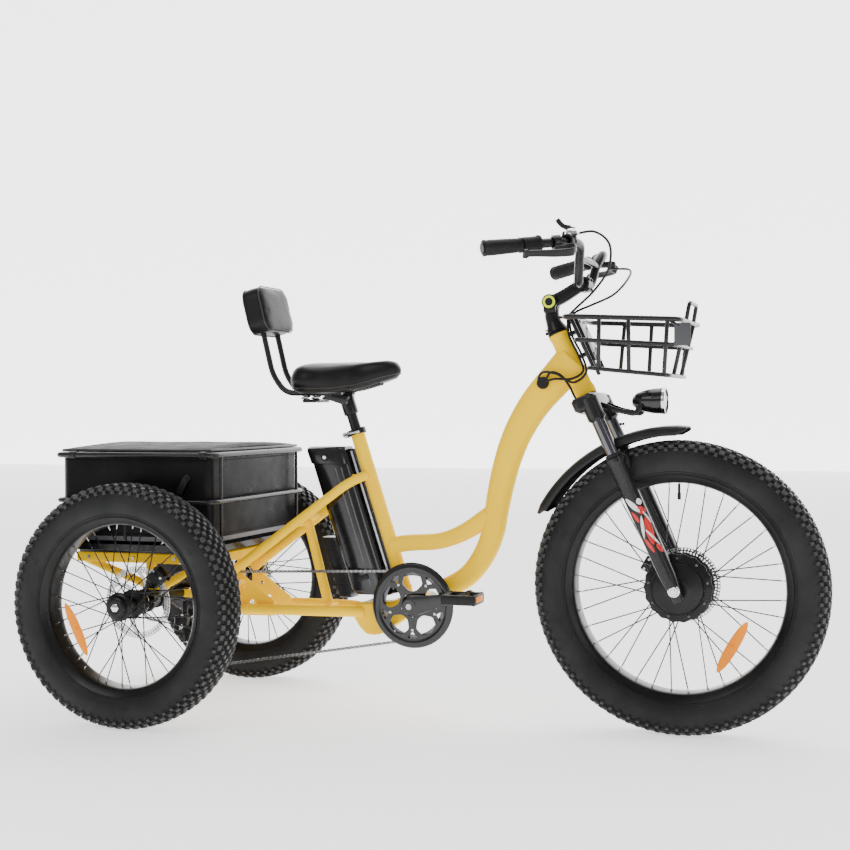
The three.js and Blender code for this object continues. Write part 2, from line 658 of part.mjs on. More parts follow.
const alongGrip = (side, t) => [
  THREE.MathUtils.lerp(GRIP_START[0], GRIP_END[0], t),
  side * THREE.MathUtils.lerp(GRIP_START[1], GRIP_END[1], t),
  THREE.MathUtils.lerp(GRIP_START[2], GRIP_END[2], t),
];
function sleeve(side, from, to, radius, endRadius = radius) {
  return cut(
    rod(alongGrip(side, from), alongGrip(side, to), radius, 12, endRadius),
    rod(alongGrip(side, -0.5), alongGrip(side, Math.min(to, 0.97)), BAR_R + 0.5, 10),
  );
}
add('right_grip', sleeve(-1, 0.42, 1, 16, 17), RUBBER);
add('throttle', sleeve(-1, 0.13, 0.41, 17.5, 16.5), SATIN);
add('left_grip', sleeve(1, 0.1, 1, 16, 17), RUBBER);

// Lever mounts clamp the bar just inboard of the grips; the blades reach out in front of them.
const MOUNT_AT = -0.12;
function leverMount(side) {
  const at = alongGrip(side, MOUNT_AT);
  const clamp = rod(alongGrip(side, MOUNT_AT - 0.07), alongGrip(side, MOUNT_AT + 0.07), 17, 12);
  const body = box([44, 22, 16], [at[0] + 24, at[1], at[2] - 12], [0, 0.3, side * 0.9]);
  const endRoom = rod(alongGrip(side, -0.02), alongGrip(side, 0.5), BAR_R + 0.6, 10);
  return cut(join(clamp, body), barRoom, endRoom);
}
function lever(side) {
  const at = alongGrip(side, MOUNT_AT);
  const pivot = [at[0] + 40, at[1] + side * 16, at[2] - 24];
  const far = alongGrip(side, 0.62);
  const route = bent([pivot, [pivot[0] + 2, pivot[1] + side * 20, pivot[2] - 3],
    [far[0] + 44, far[1] + side * 28, far[2] - 22]], 14, 2);
  return join(
    rod([pivot[0], pivot[1], pivot[2] - 5], [pivot[0], pivot[1], pivot[2] + 5], 9, 10),
    sweep([[-4, -6], [4, -6], [4, 6], [-4, 6]], route),
  );
}
const leverRoom = (side) => {
  const at = alongGrip(side, MOUNT_AT);
  const pivot = [at[0] + 40, at[1] + side * 16];
  return rod([...pivot, at[2] - 34], [...pivot, at[2] - 13], 13, 12);
};
add('right_brake_mount', cut(leverMount(-1), leverRoom(-1)), BLACK);
add('left_brake_mount', cut(leverMount(1), leverRoom(1)), BLACK);
add('right_brake_lever', lever(-1), BLACK);
add('left_brake_lever', lever(1), BLACK);

const SHIFTER = [1080, -178, 1188];
const shifterBody = cut(
  join(
    box([36, 24, 28], [SHIFTER[0] + 1, SHIFTER[1], SHIFTER[2] - 10]),
    rod([SHIFTER[0] - 1, SHIFTER[1] - 9, 1167], [SHIFTER[0] + 3, SHIFTER[1] + 9, 1167], 17, 12),
  ),
  barRoom,
);
add('shifter', shifterBody, SATIN);
const shifterLever = join(
  rod([SHIFTER[0] + 4, SHIFTER[1], SHIFTER[2] + 5], [SHIFTER[0] + 4, SHIFTER[1], SHIFTER[2] + 12], 11, 12),
  sweep([[-3, -6], [3, -6], [3, 6], [-3, 6]], bent([
    [SHIFTER[0] + 4, SHIFTER[1], SHIFTER[2] + 10], [SHIFTER[0] - 16, SHIFTER[1], SHIFTER[2] + 16],
    [SHIFTER[0] - 26, SHIFTER[1], SHIFTER[2] + 30],
  ], 8, 2)),
);
add('shifter_lever', shifterLever, SATIN);

// Brake hoses and shift cable loop forward from the bar, run down behind the basket and back to a
// grommet in the down tube's side.
const cableRight = smooth([
  [1103, -178, 1186], [1135, -160, 1190], [1161, -116, 1166], [1150, -72, 1112], [1108, -44, 1062],
  [1066, -36, 1026], [1041, -34, 1004], [1044, -36, 960], [1070, -38, 905], [1080, -40, 870],
  [1052, -42, 852], [1010, -41, 852], [985, -38, 846],
], 26);
const cableLeft = smooth([
  [1104, 212, 1138], [1152, 170, 1130], [1163, 90, 1098], [1140, 24, 1056], [1096, -18, 1030],
  [1060, -27, 1014], [1043, -34, 998],
], 14);
const grommet = box([26, 8, 22], [978, -35, 843]);
add('control_cables', join(tube(cableRight, 3, 6), tube(cableLeft, 3, 6), grommet), SATIN);

// ---- Seat, in the seat tube's own frame: +Z up the tube ----
const seat = group(SEAT_TOP, SEAT_TILT);
const clampOuter = join(
  rod([0, 0, -15], [0, 0, 0], SEAT_TUBE_R + 6, 16),
  box([10, 26, 15], [-SEAT_TUBE_R - 8, 0, -7.5]),
);
add('seat_clamp', cut(clampOuter, rod([0, 0, -20], [0, 0, 5], SEAT_TUBE_R + 0.8, 16)), BLACK, seat);
const clampLever = join(
  rod([-SEAT_TUBE_R - 8, -14.5, -7.5], [-SEAT_TUBE_R - 8, -24, -7.5], 6.5, 10),
  tube(bent([[-SEAT_TUBE_R - 8, -20, -7.5], [-6, -34, -9], [18, -34, -12]], 12, 2), 3.5, 6),
);
add('seat_clamp_lever', clampLever, STEEL, seat);

const POST_TOP = 66;
add('seat_post', rod([0, 0, -180], [0, 0, POST_TOP], POST_R, 16), BLACK, seat);

const SADDLE_Z = [838, 906];
const saddleOutline = new THREE.Shape();
saddleOutline.moveTo(318, 0);
saddleOutline.bezierCurveTo(316, -90, 338, -126, 386, -122);
saddleOutline.bezierCurveTo(442, -112, 450, -44, 506, -36);
saddleOutline.bezierCurveTo(562, -34, 596, -30, 598, 0);
saddleOutline.bezierCurveTo(596, 30, 562, 34, 506, 36);
saddleOutline.bezierCurveTo(450, 44, 442, 112, 386, 122);
saddleOutline.bezierCurveTo(338, 126, 316, 90, 318, 0);
const saddleGeometry = new THREE.ExtrudeGeometry(saddleOutline, {
  depth: SADDLE_Z[1] - SADDLE_Z[0] - 20,
  bevelEnabled: true, bevelThickness: 10, bevelSize: 12, bevelOffset: -12, bevelSegments: 2,
  curveSegments: 5,
});
add('saddle', place(saddleGeometry, [0, 0, SADDLE_Z[0] + 10]), LEATHER);

const SEAT_LOW = 824;
const backTube = (side) => tube(bent([
  [226, side * 42, 1000], [257, side * 42, 872], [294, side * 42, SEAT_LOW], [452, side * 42, SEAT_LOW],
], 26, 3), 7.5, 6);
const seatFrame = cut(
  join(
    box([150, 96, 5], [400, 0, SADDLE_Z[0] - 5]),
    box([22, 96, 8], [350, 0, SEAT_LOW + 4]),
    box([22, 96, 8], [438, 0, SEAT_LOW + 4]),
    rod([408, 22, SADDLE_Z[0] - 7], [540, 10, SADDLE_Z[0] - 5], 3.5, 6),
    rod([408, -22, SADDLE_Z[0] - 7], [540, -10, SADDLE_Z[0] - 5], 3.5, 6),
    rod(seatAxis(POST_TOP - 26), seatAxis(POST_TOP + 34), 19, 12),
    backTube(-1),
    backTube(1),
  ),
  rod(seatAxis(0), seatAxis(POST_TOP + 0.5), POST_R + 0.5, 16),
  box([300, 400, 60], [460, 0, SADDLE_Z[0] + 29.5]),
);
add('seat_frame', largest(seatFrame), BLACK);

const PAD_TILT = 0.24;
const padShape = new THREE.Shape();
padShape.moveTo(-56, -60);
padShape.lineTo(56, -60);
padShape.quadraticCurveTo(84, -60, 86, -30);
padShape.lineTo(86, 28);
padShape.quadraticCurveTo(84, 58, 50, 60);
padShape.lineTo(-50, 60);
padShape.quadraticCurveTo(-84, 58, -86, 28);
padShape.lineTo(-86, -30);
padShape.quadraticCurveTo(-84, -60, -56, -60);
const padGeometry = new THREE.ExtrudeGeometry(padShape, {
  depth: 38, bevelEnabled: true, bevelThickness: 12, bevelSize: 12, bevelOffset: -12, bevelSegments: 2,
  curveSegments: 3,
});
padGeometry.rotateX(Math.PI / 2);
padGeometry.rotateZ(Math.PI / 2);
const padRoom = join(
  tube([[225.4, 42, 1002.5], [257, 42, 872]], 8.8, 8),
  tube([[225.4, -42, 1002.5], [257, -42, 872]], 8.8, 8),
);
add('backrest_pad', cut(place(padGeometry, [206, 0, 1040], [0, -PAD_TILT, 0]), padRoom), LEATHER);

// ---- Drive ----
const crankDirection = [Math.cos(CRANK_RISE), 0, Math.sin(CRANK_RISE)];
const fromCrank = (reach, y) => [
  CRANK[0] + reach * crankDirection[0], y, CRANK[2] + reach * crankDirection[2],
];
const SPINDLE_R = 8.5;

const spindleRoom = disc(9, CRANK, -90, 90, 12);
const WINDOW_TURN = Math.PI / 10;
const holes = [];
const windows = [];
for (let i = 0; i < 5; i += 1) {
  const angle = (2 * Math.PI * i) / 5 + WINDOW_TURN;
  const at = [CRANK[0] + 64 * Math.cos(angle), 0, CRANK[2] + 64 * Math.sin(angle)];
  windows.push(disc(22, at, -80, -30, 6));
  const between = angle + Math.PI / 5;
  const small = [CRANK[0] + 84 * Math.cos(between), 0, CRANK[2] + 84 * Math.sin(between)];
  holes.push(disc(7, small, -80, -30, 3));
}
const chainring = cut(
  join(
    disc(CHAINRING_R - 5, CRANK, CHAIN_Y - 6, CHAIN_Y + 1, 24),
    disc(GUARD_R, CRANK, CHAIN_Y - 8, CHAIN_Y - 5, 24),
  ),
  disc(14, CRANK, -80, -30, 12),
  ...windows,
  ...holes,
);
function crankArm(side, y, innerY) {
  const tip = fromCrank(-side * CRANK_LENGTH, y);
  const start = [CRANK[0], y, CRANK[2]];
  const middle = fromCrank(-side * 84, y);
  return cut(
    join(
      disc(20, CRANK, Math.min(innerY, y + side * 8), Math.max(innerY, y + side * 8), 16),
      rod(start, middle, 12, 8, 11),
      rod(middle, tip, 11, 8, 9),
      disc(14, tip, y - 8, y + 8, 12),
    ),
    spindleRoom,
    disc(6.5, tip, y - 20, y + 20, 10),
  );
}
const boss = cut(disc(24, CRANK, CHAIN_Y - 20, CHAIN_Y - 6, 16), spindleRoom);
const spindle = join(
  disc(SPINDLE_R, CRANK, -82, 82, 12),
  disc(SPINDLE_R + 3, CRANK, -82, CHAIN_Y - 10, 12),
);
const rightCrank = join(chainring, boss, crankArm(-1, -CRANK_Y, CHAIN_Y - 8), spindle);
add('right_crank_and_chainring', rightCrank, BLACK);
add('left_crank_arm', crankArm(1, CRANK_Y, 44), BLACK);

function pedal(side) {
  const at = fromCrank(-side * CRANK_LENGTH, 0);
  const y = side * 134;
  const cage = cut(
    box([86, 84, 26], [at[0], y, at[2]]),
    box([22, 60, 40], [at[0] - 24, y, at[2]]),
    box([22, 60, 40], [at[0] + 24, y, at[2]]),
  );
  return join(cage, disc(6, at, Math.min(side * (CRANK_Y - 7), y), Math.max(side * (CRANK_Y - 7), y), 10));
}
add('right_pedal', pedal(-1), BLACK);
add('left_pedal', pedal(1), BLACK);

// Sprockets on the differential case, which turns in the gap of the axle housing.
const cassette = cut(
  join(
    disc(CASSETTE_R - 5.5, REAR_AXLE, CHAIN_Y - 1.5, CHAIN_Y + 1.5, 20),
    disc(42, REAR_AXLE, CHAIN_Y - 6.5, CHAIN_Y - 4, 16),
    disc(37, REAR_AXLE, CHAIN_Y - 10, CHAIN_Y - 7.5, 16),
    disc(32, REAR_AXLE, CHAIN_Y - 14, CHAIN_Y + 6, 16),
    disc(40, REAR_AXLE, CHAIN_Y + 5, 30, 16),
  ),
  disc(SHAFT_R + 1, REAR_AXLE, -80, 80, 16),
);
add('cassette_and_differential', cassette, STEEL);

const UPPER_PULLEY = [4, CHAIN_Y, 214];
const LOWER_PULLEY = [44, CHAIN_Y, 116];
const derailleurBody = join(
  box([16, 10, 56], [12, -73, 249]),
  box([40, 24, 30], [6, -80, 226]),
  rod([4, -86, 214], [4, CHAIN_Y - 12.5, 214], 9, 10),
);
add('derailleur', derailleurBody, SATIN);
const cageOutline = outlineAlong(
  [[UPPER_PULLEY[0], UPPER_PULLEY[2] + 8], [22, 160], [LOWER_PULLEY[0], LOWER_PULLEY[2] - 12]],
  4,
  () => 12,
);
const derailleurCage = join(
  slab(cageOutline, CHAIN_Y - 11, CHAIN_Y - 8.5),
  slab(cageOutline, CHAIN_Y + 8.5, CHAIN_Y + 11),
  disc(5, UPPER_PULLEY, CHAIN_Y - 10, CHAIN_Y + 10, 8),
  disc(5, LOWER_PULLEY, CHAIN_Y - 10, CHAIN_Y + 10, 8),
);
add('derailleur_cage', derailleurCage, SATIN);

// Chain: over the chainring, back over the rear sprocket, round the two pulleys and forward again.
function arcPoints(centre, radius, from, to, steps) {
  return Array.from({ length: steps + 1 }, (_, i) => {
    const angle = THREE.MathUtils.degToRad(THREE.MathUtils.lerp(from, to, i / steps));
    return [centre[0] + radius * Math.cos(angle), centre[2] + radius * Math.sin(angle)];
  });
}
const PULLEY_R = 17;
const chainLine = [
  ...arcPoints(CRANK, CHAINRING_R, -87, 93, 16),
  ...arcPoints(REAR_AXLE, CASSETTE_R, 93, 262, 9),
  ...arcPoints(UPPER_PULLEY, PULLEY_R, 62, -60, 4),
  ...arcPoints(LOWER_PULLEY, PULLEY_R, 158, 282, 4),
];
const chainShape = new THREE.Shape(offsetLoop(chainLine, -4).map(([x, z]) => new THREE.Vector2(x, z)));
const chainHole = offsetLoop(chainLine, 4).map(([x, z]) => new THREE.Vector2(x, z));
chainShape.holes.push(new THREE.Path(chainHole));
add('chain', slab(chainShape, CHAIN_Y - CHAIN_HALF, CHAIN_Y + CHAIN_HALF), CHROME);

// ---- Cargo rack, liner and lid ----
const RACK_TOP = 669;
const RACK_MID = 553;
const TRAY_Z = [428, 434];
const rackCentre = (RACK_X[0] + RACK_X[1]) / 2;
const tray = cut(
  box([RACK_X[1] - RACK_X[0] + 5, 2 * RACK_Y + 5, 16], [rackCentre, 0, TRAY_Z[0] + 8]),
  box([RACK_X[1] - RACK_X[0] - 2, 2 * RACK_Y - 2, 16], [rackCentre, 0, TRAY_Z[1] + 8]),
);
const POST_Y = 225;
const posts = [];
for (const side of [-1, 1]) {
  for (const x of RACK_X) {
    posts.push(rod([x, side * POST_Y, RACK_TOP], [x, side * POST_Y, TRAY_Z[0] + 3.1], 4.2, 5));
  }
}
const rack = join(
  ring(RACK_X, RACK_Y, RACK_TOP, RACK_ROD + 1, 30),
  ring(RACK_X, RACK_Y, RACK_MID, RACK_ROD, 30),
  tray,
  box([380, 24, 14], [-30, -RAIL_Y, 423]),
  box([380, 24, 14], [-30, RAIL_Y, 423]),
  ...posts,
);
add('cargo_rack', rack, BLACK);

const boxCentre = (BOX_X[0] + BOX_X[1]) / 2;
const boxLength = BOX_X[1] - BOX_X[0];
const liner = cut(
  box([boxLength, 2 * BOX_Y, BOX_Z[1] - BOX_Z[0]], [boxCentre, 0, (BOX_Z[0] + BOX_Z[1]) / 2]),
  box([boxLength - 10, 2 * BOX_Y - 10, 400], [boxCentre, 0, BOX_Z[0] + 5 + 200]),
);
add('cargo_liner', liner, GLOSS);

const lidShape = new THREE.Shape();
lidShape.moveTo(-BOX_Y, 0);
lidShape.lineTo(BOX_Y, 0);
lidShape.lineTo(BOX_Y, 8);
lidShape.quadraticCurveTo(0, 22, -BOX_Y, 8);
const lidGeometry = new THREE.ExtrudeGeometry(lidShape, {
  depth: boxLength, bevelEnabled: false, curveSegments: 6,
});
lidGeometry.rotateX(Math.PI / 2);
lidGeometry.rotateZ(Math.PI / 2);
add('cargo_lid', place(lidGeometry, [BOX_X[0], 0, BOX_Z[1] + 5]), SATIN);

// ---- Front basket, carried by a bracket on the head tube ----
const BASKET_X = [1056, 1330];
const BASKET_Y = 150;
const BASKET_TOP = [997, 983];
const BASKET_LOW_X = [1110, 1300];
const BASKET_LOW_Y = 128;
const BASKET_LOW = [876, 856];
const BASKET_ROD = 5;
const bars = [];
for (const side of [-1, 1]) {
  for (const [t, low] of [[0.32, 0.14], [0.57, 0.52], [0.9, 0.95]]) {
    const topX = THREE.MathUtils.lerp(BASKET_X[0], BASKET_X[1], t);
    const lowX = THREE.MathUtils.lerp(BASKET_LOW_X[0], BASKET_LOW_X[1], low);
    const topZ = THREE.MathUtils.lerp(BASKET_TOP[0], BASKET_TOP[1], t);
    const lowZ = THREE.MathUtils.lerp(BASKET_LOW[0], BASKET_LOW[1], low);
    bars.push(rod([topX, side * BASKET_Y, topZ], [lowX, side * BASKET_LOW_Y, lowZ], 4, 3));
    bars.push(rod([lowX, 0, lowZ], [lowX, side * BASKET_LOW_Y, lowZ], 4, 3));
  }
  for (const end of [0, 1]) {
    const top = [BASKET_X[end], side * 62, BASKET_TOP[end]];
    const low = [BASKET_LOW_X[end], side * 54, BASKET_LOW[end]];
    bars.push(rod(top, low, 4, 3));
  }
}
const MID_RING = 0.45;
const midX = BASKET_X.map((x, i) => THREE.MathUtils.lerp(x, BASKET_LOW_X[i], MID_RING));
const midZ = BASKET_TOP.map((z, i) => THREE.MathUtils.lerp(z, BASKET_LOW[i], MID_RING));
const midY = THREE.MathUtils.lerp(BASKET_Y, BASKET_LOW_Y, MID_RING);
const bracketTurn = [0, -HEAD_TILT, 0];
const basketBracket = join(
  box([5, 72, 118], fromTilted(HEAD_TOP, HEAD_TILT, 62, -42), bracketTurn),
  box([40, 30, 12], fromTilted(HEAD_TOP, HEAD_TILT, 46, -14), bracketTurn),
  box([40, 30, 12], fromTilted(HEAD_TOP, HEAD_TILT, 46, -74), bracketTurn),
);
const basket = join(
  ring(BASKET_X, BASKET_Y, BASKET_TOP[0], BASKET_ROD + 1, 30, BASKET_TOP[1]),
  ring(midX, midY, midZ[0], BASKET_ROD, 28, midZ[1]),
  ring(BASKET_LOW_X, BASKET_LOW_Y, BASKET_LOW[0], BASKET_ROD, 24, BASKET_LOW[1]),
  tube(bent([
    [BASKET_X[1], -54, BASKET_TOP[1]], [BASKET_X[1] + 8, -54, BASKET_TOP[1] + 44],
    [BASKET_X[1] + 8, 54, BASKET_TOP[1] + 44], [BASKET_X[1], 54, BASKET_TOP[1]],
  ], 14, 3), 4.5, 6),
  basketBracket,
  ...bars,
);
const headRoom = join(
  rod(headAxis(10), headAxis(-14.5), 26.5 + 0.6, 20),
  rod(headAxis(10), headAxis(-HEAD_LENGTH), 24.8, 20, 27),
);
add('front_basket', largest(cut(basket, headRoom)), BLACK);

// ---- Battery behind the seat tube, and the motor controller behind it ----
const BATTERY_TOP = 686;
const BATTERY_LOW = 306;
const behindTube = (z, back) => SEAT_TOP[0] + (SEAT_TOP[2] - z) * 0.322 - 19.5 - back;
const BATTERY_HALF = 40;
const RAIL_DEPTH = 13;
const RAIL_HALF = 14;
const lean = new THREE.Matrix4().makeShear(0, 0, 0, 0, -0.322, 0);
function leaning(section, low, top) {
  const outline = new THREE.Shape(section.map(([x, y]) => new THREE.Vector2(x, y)));
  const geometry = new THREE.ExtrudeGeometry(outline, { depth: top - low, bevelEnabled: false });
  return place(geometry.applyMatrix4(lean), [behindTube(low, 1), 0, low]);
}
const batterySection = [
  [-118, -34], [-110, -BATTERY_HALF], [-31, -BATTERY_HALF], [-RAIL_DEPTH - 2.5, -26],
  [-RAIL_DEPTH - 2.5, 26], [-31, BATTERY_HALF], [-110, BATTERY_HALF], [-118, 34],
];
add('battery', leaning(batterySection, BATTERY_LOW, BATTERY_TOP), GLOSS);
const railSection = [
  [-RAIL_DEPTH, -RAIL_HALF], [0, -RAIL_HALF + 4], [0, RAIL_HALF - 4], [-RAIL_DEPTH, RAIL_HALF],
];
add('battery_rail', leaning(railSection, BATTERY_LOW + 6, BATTERY_TOP - 6), BLACK);

const controllerOutline = [
  [behindTube(452, 125), 452], [behindTube(452, 163), 446],
  [behindTube(296, 160), 296], [behindTube(296, 125), 296],
];
add('controller', slab(controllerOutline, -28, 28), SATIN);

export default trike;
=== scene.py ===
"""Looks of the adult cargo tricycle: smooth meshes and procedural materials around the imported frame.

Lengths below are in millimetres, set out from the point on the ground under the rear axle:
+X forward, +Y to the rider's left, +Z up. piece() turns them into the frame's metres. The grain of
the materials, the soft pass, the studio, its lights and the camera are given in metres.
"""

from math import atan, atan2, cos, hypot, pi, radians, sin

import bmesh
import bpy
import numpy as np
from mathutils import Matrix, Vector


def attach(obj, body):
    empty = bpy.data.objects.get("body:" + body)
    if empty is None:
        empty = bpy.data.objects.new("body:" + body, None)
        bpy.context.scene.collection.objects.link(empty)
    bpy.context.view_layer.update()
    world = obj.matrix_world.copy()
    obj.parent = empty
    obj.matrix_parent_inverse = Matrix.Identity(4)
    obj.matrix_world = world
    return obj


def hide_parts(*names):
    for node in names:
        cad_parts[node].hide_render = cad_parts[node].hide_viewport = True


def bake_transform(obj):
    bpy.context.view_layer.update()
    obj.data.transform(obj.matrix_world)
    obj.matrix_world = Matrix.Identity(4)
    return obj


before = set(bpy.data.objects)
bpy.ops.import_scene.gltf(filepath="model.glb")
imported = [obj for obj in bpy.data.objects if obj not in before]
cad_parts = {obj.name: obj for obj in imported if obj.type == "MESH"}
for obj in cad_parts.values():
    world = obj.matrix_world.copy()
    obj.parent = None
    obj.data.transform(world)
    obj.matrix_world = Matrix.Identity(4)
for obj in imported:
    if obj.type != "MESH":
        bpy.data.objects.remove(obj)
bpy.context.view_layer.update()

MM = 0.001
SHIFT_X = -676.75
TAU = 2 * pi

# ---- Driving dimensions, the CAD model's own ----
FRONT_R = 352
REAR_R = 302
WHEELBASE = 1303.5
TRACK = 698
HEAD_TOP = (1010, 0, 963)
HEAD_TILT = atan2(68, 151)
HEAD_LENGTH = 165
FORK_OFFSET = 16.7
HUB_DROP = 677.6
LEG_Y = 76
SEAT_TOP = (473.1, 0, 730)
LEAN = 0.322  # how far the seat tube runs back for each unit of height
SEAT_TILT = atan(LEAN)
CRANK = (645, 0, 289)
CRANK_LENGTH = 160
CRANK_RISE = radians(12)
CRANK_Y = 78
CHAIN_Y = -50
CHAINRING_R = 89
CASSETTE_R = 52.7
BOX_X = (-238, 188)
BOX_Y = 258
RACK_X = (-248, 200)
RACK_Y = 273
SPOKES = 36
PAD_R = 86  # how far out from the axle the brake calipers sit
RIM_SEAT = 88.8  # from the tyre's outer radius in to the rim's seat
SPOKE_END = 104.5  # and in to the spokes' outer ends
ROTOR_R = 90
WELD_WITHIN = 4e-6  # metres: points of a piece this close are one
BEVEL_FROM = 32  # degrees


# ---- Materials ----
def material(name, slot, color, roughness, metallic=0.0, coat=0.0, grain=(), mottle=0.0, patches=0.12,
             wear=0.0, **sockets):
    """A principled material: colour mottled by noise, roughness in patches, edges worn a little, and
    a fine grain as bump. grain is (kind, cells per metre, depth in metres)."""
    made = bpy.data.materials.new(name)
    made.use_nodes = True
    nodes, links = made.node_tree.nodes, made.node_tree.links
    shader = nodes["Principled BSDF"]
    shader.inputs["Metallic"].default_value = metallic
    shader.inputs["Coat Weight"].default_value = coat
    shader.inputs["Coat Roughness"].default_value = 0.06
    for socket, value in sockets.items():
        shader.inputs[socket.replace("_", " ")].default_value = value
    place = nodes.new("ShaderNodeTexCoord").outputs["Object"]

    def noise(scale, detail=3.0):
        texture = nodes.new("ShaderNodeTexNoise")
        texture.inputs["Scale"].default_value = scale
        texture.inputs["Detail"].default_value = detail
        links.new(place, texture.inputs["Vector"])
        return texture.outputs["Fac"]

    def mixed(factor, a, b):
        mix = nodes.new("ShaderNodeMix")
        mix.data_type = "RGBA"
        links.new(factor, mix.inputs["Factor"])
        for end, value in (("A", a), ("B", b)):
            socket = next(s for s in mix.inputs if s.name == end and s.type == "RGBA")
            if isinstance(value, tuple):
                socket.default_value = (*value, 1)
            else:
                links.new(value, socket)
        return next(s for s in mix.outputs if s.type == "RGBA")

    def ranged(value, low, high, to_low, to_high):
        remap = nodes.new("ShaderNodeMapRange")
        for socket, number in zip(("From Min", "From Max", "To Min", "To Max"),
                                  (low, high, to_low, to_high)):
            remap.inputs[socket].default_value = number
        links.new(value, remap.inputs["Value"])
        return remap.outputs["Result"]

    darker = tuple(c * (1 - mottle) for c in color)
    lighter = tuple(min(1.0, c * (1 + mottle) + 0.02 * mottle) for c in color)
    tone = mixed(ranged(noise(9), 0.35, 0.65, 0, 1), darker, lighter)
    if wear:
        edge = nodes.new("ShaderNodeNewGeometry").outputs["Pointiness"]
        worn = tuple(min(1.0, c * 1.6 + wear * 0.15) for c in color)
        tone = mixed(ranged(edge, 0.52, 0.60, 0, wear), tone, worn)
    links.new(tone, shader.inputs["Base Color"])
    rough = ranged(noise(22, 4), 0.3, 0.7, roughness * (1 - patches), min(1.0, roughness * (1 + patches)))
    links.new(rough, shader.inputs["Roughness"])
    if grain:
        kind, scale, depth = grain
        bump = nodes.new("ShaderNodeBump")
        bump.inputs["Distance"].default_value = depth
        bump.inputs["Strength"].default_value = 1.0
        if kind == "leather":
            cells = nodes.new("ShaderNodeTexVoronoi")
            cells.feature = "SMOOTH_F1"
            cells.inputs["Scale"].default_value = scale
            links.new(place, cells.inputs["Vector"])
            height = cells.outputs["Distance"]
        elif kind == "weave":
            wave = nodes.new("ShaderNodeTexBrick")
            wave.inputs["Scale"].default_value = scale
            links.new(place, wave.inputs["Vector"])
            height = wave.outputs["Fac"]
        else:
            height = noise(scale, 5)
        links.new(height, bump.inputs["Height"])
        links.new(bump.outputs["Normal"], shader.inputs["Normal"])
    made["slot"] = slot
    return made


# The frame's yellow paint also glows: its orange emission is painted light that makes the yellow brighter
# and more saturated than the lamps make it.
YELLOW_WITH_PAINTED_GLOW = material("yellow_paint_painted_glow", "frame_yellow", (1.0, 0.62, 0.0), 0.5,
                  grain=("noise", 380, 0.00002), mottle=0.03, Specular_IOR_Level=0.06,
                  Emission_Color=(1.0, 0.50, 0.0, 1), Emission_Strength=0.12)
PAINT = material("black_paint", "black_paint", (0.006, 0.006, 0.0065), 0.26, coat=0.12,
                 grain=("noise", 500, 0.00002), mottle=0.15, wear=0.15, Specular_IOR_Level=0.28)
ALLOY = material("black_alloy", "black_alloy", (0.004, 0.004, 0.0045), 0.30,
                 grain=("noise", 1400, 0.00002), mottle=0.2, wear=0.12, Specular_IOR_Level=0.25)
DARK_ALLOY = material("dark_alloy", "black_alloy", (0.005, 0.005, 0.0055), 0.32,
                      grain=("noise", 900, 0.00001), mottle=0.1, Specular_IOR_Level=0.25)
RUBBER = material("tyre_rubber", "tyre_rubber", (0.009, 0.0092, 0.0097), 0.55,
                  grain=("noise", 700, 0.00007), mottle=0.22, patches=0.16, Specular_IOR_Level=0.25)
TREAD = material("tread_rubber", "tyre_rubber", (0.006, 0.006, 0.0065), 0.5,
                 grain=("noise", 900, 0.00009), mottle=0.3, wear=0.35)
GRIP = material("grip_rubber", "grip_rubber", (0.006, 0.006, 0.0065), 0.5,
                grain=("noise", 1500, 0.00006), mottle=0.2, Specular_IOR_Level=0.25)
STEEL = material("steel", "steel", (0.50, 0.51, 0.53), 0.26, metallic=1.0, grain=("noise", 800, 0.00002),
                 mottle=0.12)
DARK_STEEL = material("dark_steel", "steel", (0.09, 0.09, 0.10), 0.34, metallic=0.9,
                      grain=("noise", 800, 0.00002), mottle=0.2, wear=0.4)
CHROME = material("chrome", "chrome", (0.80, 0.80, 0.82), 0.10, metallic=1.0, mottle=0.03)
STANCHION = material("stanchion_chrome", "chrome", (0.13, 0.13, 0.14), 0.12, metallic=1.0, mottle=0.05)
PLASTIC = material("black_plastic", "black_plastic", (0.006, 0.006, 0.0065), 0.40,
                   grain=("noise", 1700, 0.00005), mottle=0.15, wear=0.15, Specular_IOR_Level=0.25)
GLOSS = material("gloss_plastic", "gloss_plastic", (0.005, 0.005, 0.006), 0.17, coat=0.1,
                 grain=("noise", 60, 0.00004), mottle=0.15)
GREY_STRIP = material("grey_strip", "gloss_plastic", (0.10, 0.10, 0.11), 0.4, grain=("noise", 900, 0.00003),
                      mottle=0.1)
SILVER_STRIP = material("silver_strip", "chrome", (0.55, 0.55, 0.60), 0.28, metallic=0.9, mottle=0.05)
LINER = material("liner", "liner", (0.006, 0.006, 0.0065), 0.34, grain=("noise", 14, 0.0004), mottle=0.15,
                 patches=0.3, Specular_IOR_Level=0.06)
FABRIC = material("lid_fabric", "liner", (0.007, 0.007, 0.0075), 0.5, grain=("weave", 900, 0.00012),
                  mottle=0.12, Specular_IOR_Level=0.08)
VINYL = material("seat_vinyl", "seat_vinyl", (0.006, 0.006, 0.0063), 0.33, grain=("leather", 820, 0.00016),
                 mottle=0.18, patches=0.2, Specular_IOR_Level=0.16)
PIPING = material("seat_piping", "seat_vinyl", (0.015, 0.015, 0.016), 0.34, grain=("leather", 1200, 0.0001),
                  mottle=0.1)
CHAIN = material("chain_steel", "chain_steel", (0.16, 0.155, 0.15), 0.36, metallic=1.0,
                 grain=("noise", 900, 0.00003), mottle=0.25, wear=0.3)
